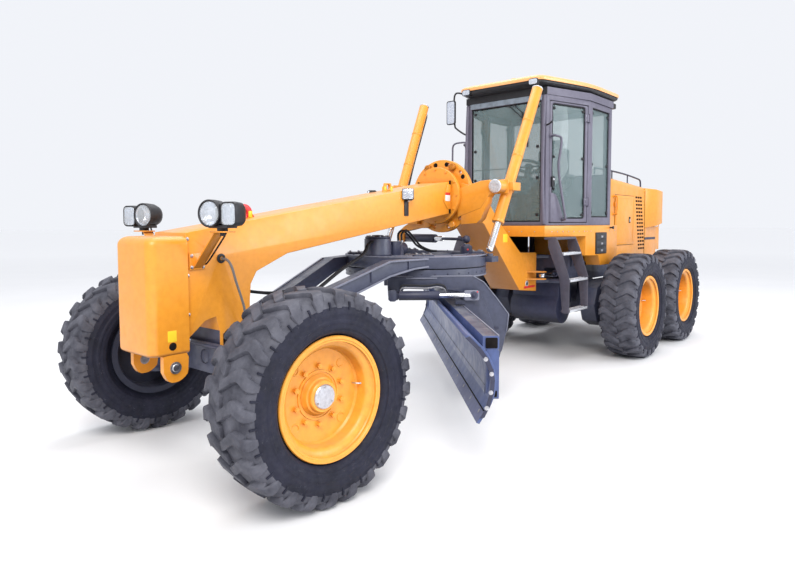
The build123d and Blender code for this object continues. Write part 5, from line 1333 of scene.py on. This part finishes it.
# ------------------------------------------------------------------ lifting eyes: horseshoe plates
def eye_pieces():
    p = Piece("lifting_eye_look", "front_frame", [RED, STICKER, STEEL], NODE_SLOT["front_frame"])
    yc, zc = 250.0, 1779.0
    pts = []
    for a in range(0, 181, 12):
        t = math.radians(a)
        pts.append((yc + 72 * math.cos(t), zc + 70 * math.sin(t), yc + 27 * math.cos(t), zc + 27 * math.sin(t)))
    pts = [(yc + 92, 1752, yc + 27, 1752)] + pts + [(yc - 92, 1742, yc - 27, 1742)]
    v, f = [], []
    for x in (-19, 19):
        for a, b, c_, d in pts:
            v += [(x, a, b), (x, c_, d)]
    m = len(pts)
    for i in range(m - 1):
        f += [(2 * i, 2 * i + 2, 2 * i + 3, 2 * i + 1), (2 * m + 2 * i, 2 * m + 2 * i + 1, 2 * m + 2 * i + 3, 2 * m + 2 * i + 2),
              (2 * i, 2 * m + 2 * i, 2 * m + 2 * i + 2, 2 * i + 2), (2 * i + 1, 2 * i + 3, 2 * m + 2 * i + 3, 2 * m + 2 * i + 1)]
    f += [(0, 1, 2 * m + 1, 2 * m), (2 * m - 2, 4 * m - 2, 4 * m - 1, 2 * m - 1)]
    p.add(v, f, 0)
    for sgn in (1, -1):
        for q in (-52, 52):
            p.rbox(min(sgn * 19, sgn * 20.5), max(sgn * 19, sgn * 20.5), yc + q - 17, yc + q + 17, 1750, 1798, 3, 1, axis="x")
    p.done(bevel=3, angle=34)


eye_pieces()


# ------------------------------------------------------------------ drawbar, circle, pitch cylinder and blade trim
def drawbar_trim():
    p = Piece("drawbar_trim", "drawbar", [SLATE_LIGHT, SLATE, STEEL, HOSE, SLATE_DARK, RED, WORN], NODE_SLOT["drawbar"])
    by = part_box("drawbar_ball")
    byy = 0.5 * (by[0][1] + by[1][1]) * 1000 - Y_OFF
    ang = math.degrees(math.atan2(420, 1900))
    top = [(byy + 60, 990), (1500, 1380), (2240, 1396)]
    low = [(byy + 120, 850), (1500, 1240), (1760, 1292), (2240, 1330)]
    for sgn in (1, -1):
        T = Matrix.Translation((sgn * 52, byy, 0)) @ Matrix.Rotation(math.radians(-sgn * ang), 4, "Z") @ Matrix.Translation((0, -byy, 0))
        out = sgn * 110
        # lighter slate strips along the web's top and bottom edges: painted highlights on the flanges
        for line, h in ((top, -1), (low, 1)):
            for (a, b), (c_, d) in zip(line, line[1:]):
                lo, hi = min(out, out + sgn * 15), max(out, out + sgn * 15)
                v = [(x, y, z + q) for x in (lo, hi) for y, z in ((a, b), (c_, d)) for q in ((0, h * 15))]
                p.add(v, [(0, 1, 3, 2), (4, 6, 7, 5), (0, 4, 5, 1), (2, 3, 7, 6), (0, 2, 6, 4), (1, 5, 7, 3)], 0, T)
        # stiffener plates between the flanges
        for y in (900, 1300, 1700):
            z = 990 + (y - byy - 60) * (1380 - 990) / (1500 - byy - 60) if y < 1500 else 1384
            p.add([(x, y + q, zz) for x in (out, out + sgn * 13) for q in (0, 10) for zz in (z - 105, z - 14)],
                  [(0, 1, 3, 2), (4, 6, 7, 5), (0, 4, 5, 1), (2, 3, 7, 6), (0, 2, 6, 4), (1, 5, 7, 3)], 1, T)
    # circle plate: rim flange in lighter slate as a painted highlight, guide shoes and bolts on top
    c = (0, 2330)
    p.lathe([(0, 700), (0, 709), (10, 709), (12, 700)], (0, 2330, 1392), (0, 0, 1), n=96, mat=0)
    p.lathe([(0, 524), (0, 530), (8, 530), (8, 524)], (0, 2330, 1398), (0, 0, 1), n=80, mat=0)
    for k in range(4):
        t = math.radians(45 + 90 * k)
        q = Vector((c[0] + 615 * math.cos(t), c[1] + 615 * math.sin(t), 1400))
        T = Matrix.Translation(q) @ Matrix.Rotation(t, 4, "Z")
        p.rbox(-70, 70, -95, 95, 0, 18, 20, 1, T)
        for a in (-42, 42):
            for b in (-62, 0, 62):
                p.bolt((a, b, 18), (0, 0, 1), 12, 12, 6, True, T)
    for k in range(24):
        t = math.radians(15 * k + 7.5)
        p.bolt((c[0] + 680 * math.cos(t), c[1] + 680 * math.sin(t), 1400), (0, 0, 1), 8, 7, 4)
    # drive head: cover with bolts, worm housing, motor and its hoses
    p.lathe([(0, 0.5), (0, 112), (6, 118), (18, 118), (22, 108), (22, 60), (34, 52), (36, 0.5)], (0, 1760, 1558), (0, 0, 1), n=56, mat=4)
    for k in range(10):
        t = math.radians(36 * k)
        p.bolt((98 * math.cos(t), 1760 + 98 * math.sin(t), 1578), (0, 0, 1), 10, 9, 6)
    p.lathe([(0, 126), (0, 134), (14, 134), (14, 126)], (0, 1760, 1402), (0, 0, 1), n=56, mat=4)
    p.rbox(-96, 96, 1880, 1990, 1400, 1530, 18, 4)
    p.lathe([(0, 0.5), (0, 66), (10, 74), (26, 74), (30, 60), (150, 60), (156, 50), (158, 0.5)], (0, 1985, 1456), (0, 1, 0), n=40, mat=4)
    for k in range(2):
        x = 22 - 44 * k
        p.cyl((x, 2085, 1510), (x, 2085, 1534), 15, n=16, mat=2)
        p.tube([(x, 2085, 1530), (x - 10, 2100, 1600), (x - 40, 2210, 1630), (x - 90, 2380, 1560), (x - 110, 2520, 1470), (x - 60, 2620, 1420), (x, 2660, 1412)], 11, 10, 3, sub=6)
    # centre-shift post: cap and bosses, lift arm plates
    px_, py_ = 400.0, 2640.0
    p.lathe([(0, 0.5), (0, 60), (90, 60), (96, 52), (100, 47), (100, 0.5)], (px_, py_, 1378), (0, 0, 1), n=36, mat=4)
    p.cyl((px_ + 44, py_ - 40, 1440), (px_ + 52, py_ - 48, 1440), 9, n=14, mat=5)
    for sgn in (1, -1):
        p.rbox(min(sgn * 600, sgn * 735), max(sgn * 600, sgn * 735), 2594, 2706, 1374, 1381, 12, 1)
    # hoses along the rail
    for k in range(2):
        p.tube([(58 - 24 * k, 700, 1092), (60 - 24 * k, 900, 1130), (70 - 26 * k, 1200, 1290), (64 - 26 * k, 1500, 1420), (30 - 20 * k, 1600, 1500), (60 - 30 * k, 1640, 1540)], 10, 8, 3, sub=6)
    p.done(bevel=0.8, angle=34)

    T = Matrix.Translation((0, 2330, 0)) @ Matrix.Rotation(math.radians(-47), 4, "Z")
    g = Piece("circle_trim", NODE_BODY["circle"], [SLATE_LIGHT, SLATE, STEEL, HOSE, RED, CHROME, SLATE_DARK], NODE_SLOT["circle"], T)
    # lighter slate ring round the circle's edge: painted highlight
    g.lathe([(0, 700), (0, 704), (12, 704), (12, 700)], (0, 0, 1202), (0, 0, 1), n=96, mat=0)
    for k in range(36):
        t = math.radians(10 * k)
        g.cyl((700 * math.cos(t), 700 * math.sin(t), 1242), (704 * math.cos(t), 704 * math.sin(t), 1242), 8, n=10, mat=6)
    for sgn in (1, -1):
        # raised border along the arm's top edge, in lighter slate as a painted highlight, and pin bosses
        edge = [(-310, 1225), (462, 1225), (560, 1170), (690, 1010), (788, 877), (770, 720)]
        for (a, b), (c_, d) in zip(edge, edge[1:]):
            g.cyl((sgn * 690, a, b), (sgn * 690, c_, d), 6, n=8, mat=0)
        g.lathe([(0, 0.5), (0, 46), (10, 48), (16, 40), (18, 0.5)], (sgn * 741, 655, 528) if False else (sgn * 690, 655, 590), (sgn, 0, 0), n=36, mat=1)
        g.bolt((sgn * 706, 655, 590), (sgn, 0, 0), 15, 14, 2)
        g.rbox(min(sgn * 690, sgn * 696), max(sgn * 690, sgn * 696), 560, 700, 742, 768, 12, 6, axis="x")
    # pitch cylinder's foot and hoses above its barrel
    g.rbox(690, 800, -300, -232, 1012, 1112, 20, 1, axis="x")
    g.done(bevel=0.8, angle=34)

    h = Piece("pitch_hoses", NODE_BODY["pitch_barrel"], [HOSE, WORN], NODE_SLOT["pitch_barrel"], T)
    for k in range(2):
        z = 1122 + 24 * k
        h.tube([(760, -190, 1086), (762, -188, z), (760, -120, z + 6), (760, 40, z + 2), (752, 130, z + 12), (757, 196, z - 4), (758, 214, 1088)], 9, 10, 1 if k == 0 else 0, sub=6)
    h.done(bevel=0, angle=34)

    b = Piece("pitch_trim", NODE_BODY["pitch_rod"], [SLATE_LIGHT, RED, SLATE_DARK], NODE_SLOT["pitch_rod"], T)
    b.rbox(741, 779, 372, 505, 1016, 1104, 16, 0, axis="x")
    b.bolt((779, 455, 1060), (1, 0, 0), 18, 12, 2)
    b.cyl((779, 488, 1092), (783, 488, 1092), 7, n=12, mat=1)
    b.done(bevel=2, angle=34)

    m = Piece("blade_trim", NODE_BODY["moldboard"], [SEAL, STEEL, WORN, SLATE_DARK, PAINTED_SHADE, YELLOW, SLATE_LIGHT], NODE_SLOT["moldboard"], T)
    ua, ub = BLADE_A, BLADE_B
    # joint between plate and cutting edge, with plough bolts below it
    m.box(ua + 4, ub - 4, 249, 256.5, 497, 504, 0)
    n = 14
    for k in range(n):
        x = ua + 90 + (ub - ua - 180) * k / (n - 1)
        nrm = Vector((0, -79, 50)).normalized()
        for c_ in ((238, 474),):
            o = Vector((x, c_[0], c_[1]))
            m.lathe([(0, 0.5), (0, 15), (1.5, 15), (1.5, 0.5)], o + Vector((0, -0.844, 0.536)) * 0.5, (0, -0.844, 0.536), n=16, mat=2)
    for x0, sgn in ((ua, -1), (ub, 1)):
        # end bit plate with bolts, following the section
        arc = [(133, 971), (200, 905), (252, 835), (285, 760), (296, 690), (288, 600), (262, 512), (230, 452)]
        for (a, c_), (d, e) in zip(arc, arc[1:]):
            q = [(a - 2, c_), (d - 2, e), (d + 26, e + 6), (a + 26, c_ + 12)]
            m.extrude2(q, "x", x0, x0 + sgn * 9, 3)
        for a, c_ in ((262, 836), (300, 740), (296, 620), (270, 520)):
            m.bolt((x0 + sgn * 9, a, c_), (sgn, 0, 0), 11, 9, 1)
        # open end of the upper rail: thin near-black plates of painted shade standing for the hollow inside
        xr = (ua + 148) if sgn < 0 else (ub - 118)
        m.rbox(min(xr, xr + sgn * 4), max(xr, xr + sgn * 4), 284, 364, 880, 950, 8, 4, axis="x")
        m.rbox(min(xr, xr + sgn * 3), max(xr, xr + sgn * 3), 306, 362, 556, 598, 8, 4, axis="x")
    # flange lines on the rails in lighter slate, painted highlights; scuffed paint on the top edge
    for z in (962, 868):
        m.box(ua + 150, ub - 120, 366, 376, z - 5, z + 5, 6)
    m.box(ua + 330, ua + 520, 133, 150, 969, 991, 5)
    m.done(bevel=0.8, angle=34)


MB = frame["nodes"]["moldboard"].data
_loc = [Matrix.Rotation(math.radians(47), 4, "Z") @ (Vector((v.co.x * 1000 - X_OFF, v.co.y * 1000 - Y_OFF, v.co.z * 1000)) - Vector((0, 2330, 0))) for v in MB.vertices]
BLADE_A, BLADE_B = min(q.x for q in _loc), max(q.x for q in _loc)
drawbar_trim()


# ------------------------------------------------------------------ lift cylinders, switch panel, ladders, articulation joint
def lift_trim():
    yk0, ball0 = Vector((698, 2940, 2060)), Vector((670, 2650, 1450))
    for name, sgn in sides():
        yk, ball = Vector((sgn * yk0.x, yk0.y, yk0.z)), Vector((sgn * ball0.x, ball0.y, ball0.z))
        d = (ball - yk).normalized()
        top = yk - d * 1150
        body = NODE_BODY["lift_barrel_" + name]
        p = Piece("lift_trim_" + name, body, [SILVER, YELLOW, HOSE, STEEL, RED], NODE_SLOT["lift_barrel_" + name])
        p.lathe([(-2, 0.5), (-2, 50), (4, 57), (10, 57), (12, 50), (14, 0.5)], top, -d, n=40, mat=0)
        p.lathe([(0, 55), (0, 60), (26, 60), (26, 55)], yk + d * 366, d, n=40, mat=1)
        u = Vector((0, 1, 0)) - d * d.y
        u.normalize()
        for a, r in ((-1080, 16), (330, 16)):
            c = yk + d * a + u * 52
            p.cyl(c, c + u * 26, r, n=18, mat=3)
        # one hose runs up behind the barrel, held by two clamps
        o = u * 84
        p.tube([yk + d * 330 + u * 74, yk + d * 322 + u * 96, yk + d * 270 + o, yk + d * 150 + o * 1.05, yk - d * 100 + o * 1.15, yk - d * 400 + o, yk - d * 800 + o, yk - d * 1040 + o, yk - d * 1078 + u * 76], 11, 10, 2, sub=5)
        for a in (-350, -760):
            c = yk + d * a
            p.lathe([(-9, 55), (-9, 57.5), (9, 57.5), (9, 55)], c, d, n=36, mat=1)
            p.box(c.x - 8, c.x + 8, c.y + 52, c.y + 96, c.z - 2, c.z + 10, 1)
        p.done(bevel=0.8, angle=34)


lift_trim()


def lower_trim():
    p = Piece("platform_trim", "rear_frame", [BLACK, STEEL, SILVER, CONSOLE, YELLOW, STICKER, SLATE, PAINTED_SHADE], NODE_SLOT["cab_platform"])
    for sgn in (1, -1):
        # three-gang switch panel below the quarter window
        x0, x1 = sgn * 749, sgn * 760
        p.rbox(min(x0, x1), max(x0, x1), 4985, 5325, 1312, 1582, 10, 0, axis="x")
        for k in range(3):
            z = 1352 + 88 * k
            p.rbox(min(x1, x1 + sgn * 5), max(x1, x1 + sgn * 5), 5005, 5305, z - 34, z + 34, 8, 3, axis="x")
            p.rbox(min(x1, x1 + sgn * 12), max(x1, x1 + sgn * 12), 5130, 5180, z - 12, z + 12, 5, 1, axis="x")
        # bolts along the platform's yellow band
        for k in range(7):
            y = 4140 + 85 * k
            x = 545 + (y - 4030) * (758 - 545) / (4660 - 4030)
            p.bolt((sgn * (x - 4), y, 1600), (sgn * 0.95, -0.3, 0), 7, 6, 1, False)
        for y in (4720, 4840, 5420, 5600):
            p.bolt((sgn * 750, y, 1600), (sgn, 0, 0), 7, 6, 1, False)
    for k in range(6):
        p.bolt((-420 + 168 * k, 4030, 1600), (0, -1, 0), 7, 6, 1, False)
    p.done(bevel=0.6, angle=34)
    # ladders' light tread edges and teeth
    q = Piece("ladder_trim", "rear_frame", [SILVER, STEEL, LADDER], NODE_SLOT["cab_platform"])
    bb = [(v.co.x * 1000 - X_OFF, v.co.y * 1000 - Y_OFF, v.co.z * 1000) for v in frame["nodes"]["cab_platform"].data.vertices]
    for sgn, ylad in ((1, 3930.0), (-1, 4150.0)):
        for z0, z1 in ((700, 760), (1020, 1080), (1340, 1400)):
            pts = [c for c in bb if c[0] * sgn > 560 and z0 <= c[2] <= z1 and ylad - 20 < c[1] < ylad + 560]
            if len(pts) < 4:
                continue
            xo = max(c[0] * sgn for c in pts)
            z = max(c[2] for c in pts)
            ya, yb = min(c[1] for c in pts), max(c[1] for c in pts)
            q.rbox(min(sgn * (xo - 1), sgn * (xo + 5)), max(sgn * (xo - 1), sgn * (xo + 5)), ya + 22, yb - 22, z - 22, z + 4, 3, 0)
            for k in range(11):
                y = ya + 40 + (yb - ya - 80) * k / 10
                q.cyl((sgn * (xo - 40), y, z), (sgn * (xo - 40), y, z + 5), 9, 6, n=10, mat=0)
                q.cyl((sgn * (xo - 80), y + 12, z), (sgn * (xo - 80), y + 12, z + 5), 9, 6, n=10, mat=0)
    q.done(bevel=0.4, angle=34)
    # articulation joint: red lock bar parked on the front frame, silver ring
    r = Piece("joint_trim", "front_frame", [RED, SILVER, YELLOW, STICKER, SLATE_DARK], NODE_SLOT["front_frame"])
    for sgn in (1, -1):
        X = sgn * 200.3
        r.rbox(min(X, X + sgn * 5), max(X, X + sgn * 5), 4190, 4460, 906, 932, 6, 0, axis="x")
        r.lathe([(0, 22), (0, 38), (3, 38), (5, 33), (5, 22)], (X, 4262, 962), (sgn, 0, 0), n=30, mat=1)
        r.cyl((X, 4262, 962), (X + sgn * 2, 4262, 962), 21, n=24, mat=4)
    r.done(bevel=1.2, angle=34)


lower_trim()


def screen_band():
    p = Piece("screen_band", "rear_frame", [BAND, SEAL], NODE_SLOT["cab_frame"])
    p.rbox(-486, 486, 4041, 4047, 3114, 3176, 6, 0, axis="y")
    p.done(bevel=1.0, angle=34)


screen_band()


# ------------------------------------------------------------------ stage, light
def stage():
    m, nt, b = new_mat("floor_paper")
    near = mix(nt, ramp(nt, noise(nt, 0.6, 3), 0.3, 0.7), (0.86, 0.86, 0.865), (0.83, 0.83, 0.84))
    tc = nt.nodes.new("ShaderNodeTexCoord")
    dist = nt.nodes.new("ShaderNodeVectorMath")
    dist.operation = "LENGTH"
    nt.links.new(tc.outputs["Object"], dist.inputs[0])
    nt.links.new(mix(nt, ramp(nt, dist.outputs["Value"], 9.0, 34.0), near, (0.985, 0.985, 0.985)), b.inputs["Base Color"])
    b.inputs["Roughness"].default_value = 0.9
    b.inputs["Specular IOR Level"].default_value = 0.1
    me = bpy.data.meshes.new("floor")
    s = 400.0
    me.from_pydata([(-s, -s, 0), (s, -s, 0), (s, s, 0), (-s, s, 0)], [], [(0, 1, 2, 3)])
    me.materials.append(m)
    ob = bpy.data.objects.new("floor", me)
    scene.collection.objects.link(ob)
    w = bpy.data.worlds.new("studio")
    scene.world = w
    w.use_nodes = True
    bg = w.node_tree.nodes["Background"]
    bg.inputs["Color"].default_value = (0.93, 0.95, 1.0, 1)
    bg.inputs["Strength"].default_value = 0.95
    for name, loc, target, size, power, colour in (
            ("key", (6.5, -9.0, 9.5), (0, -1.0, 1.0), 7.0, 1150, (1.0, 0.97, 0.93)),
            ("fill", (9.0, 3.0, 5.0), (0, 0, 1.2), 6.0, 420, (0.92, 0.95, 1.0)),
            ("top", (-2.0, 1.0, 11.0), (0, 0, 1.0), 9.0, 600, (1, 1, 1))):
        ld = bpy.data.lights.new(name, "AREA")
        ld.shape = "DISK"
        ld.size = size
        ld.energy = power
        ld.color = colour
        lo = bpy.data.objects.new(name, ld)
        lo.location = loc
        lo.rotation_mode = "QUATERNION"
        lo.rotation_quaternion = (Vector(target) - Vector(loc)).to_track_quat("-Z", "Y")
        scene.collection.objects.link(lo)


stage()
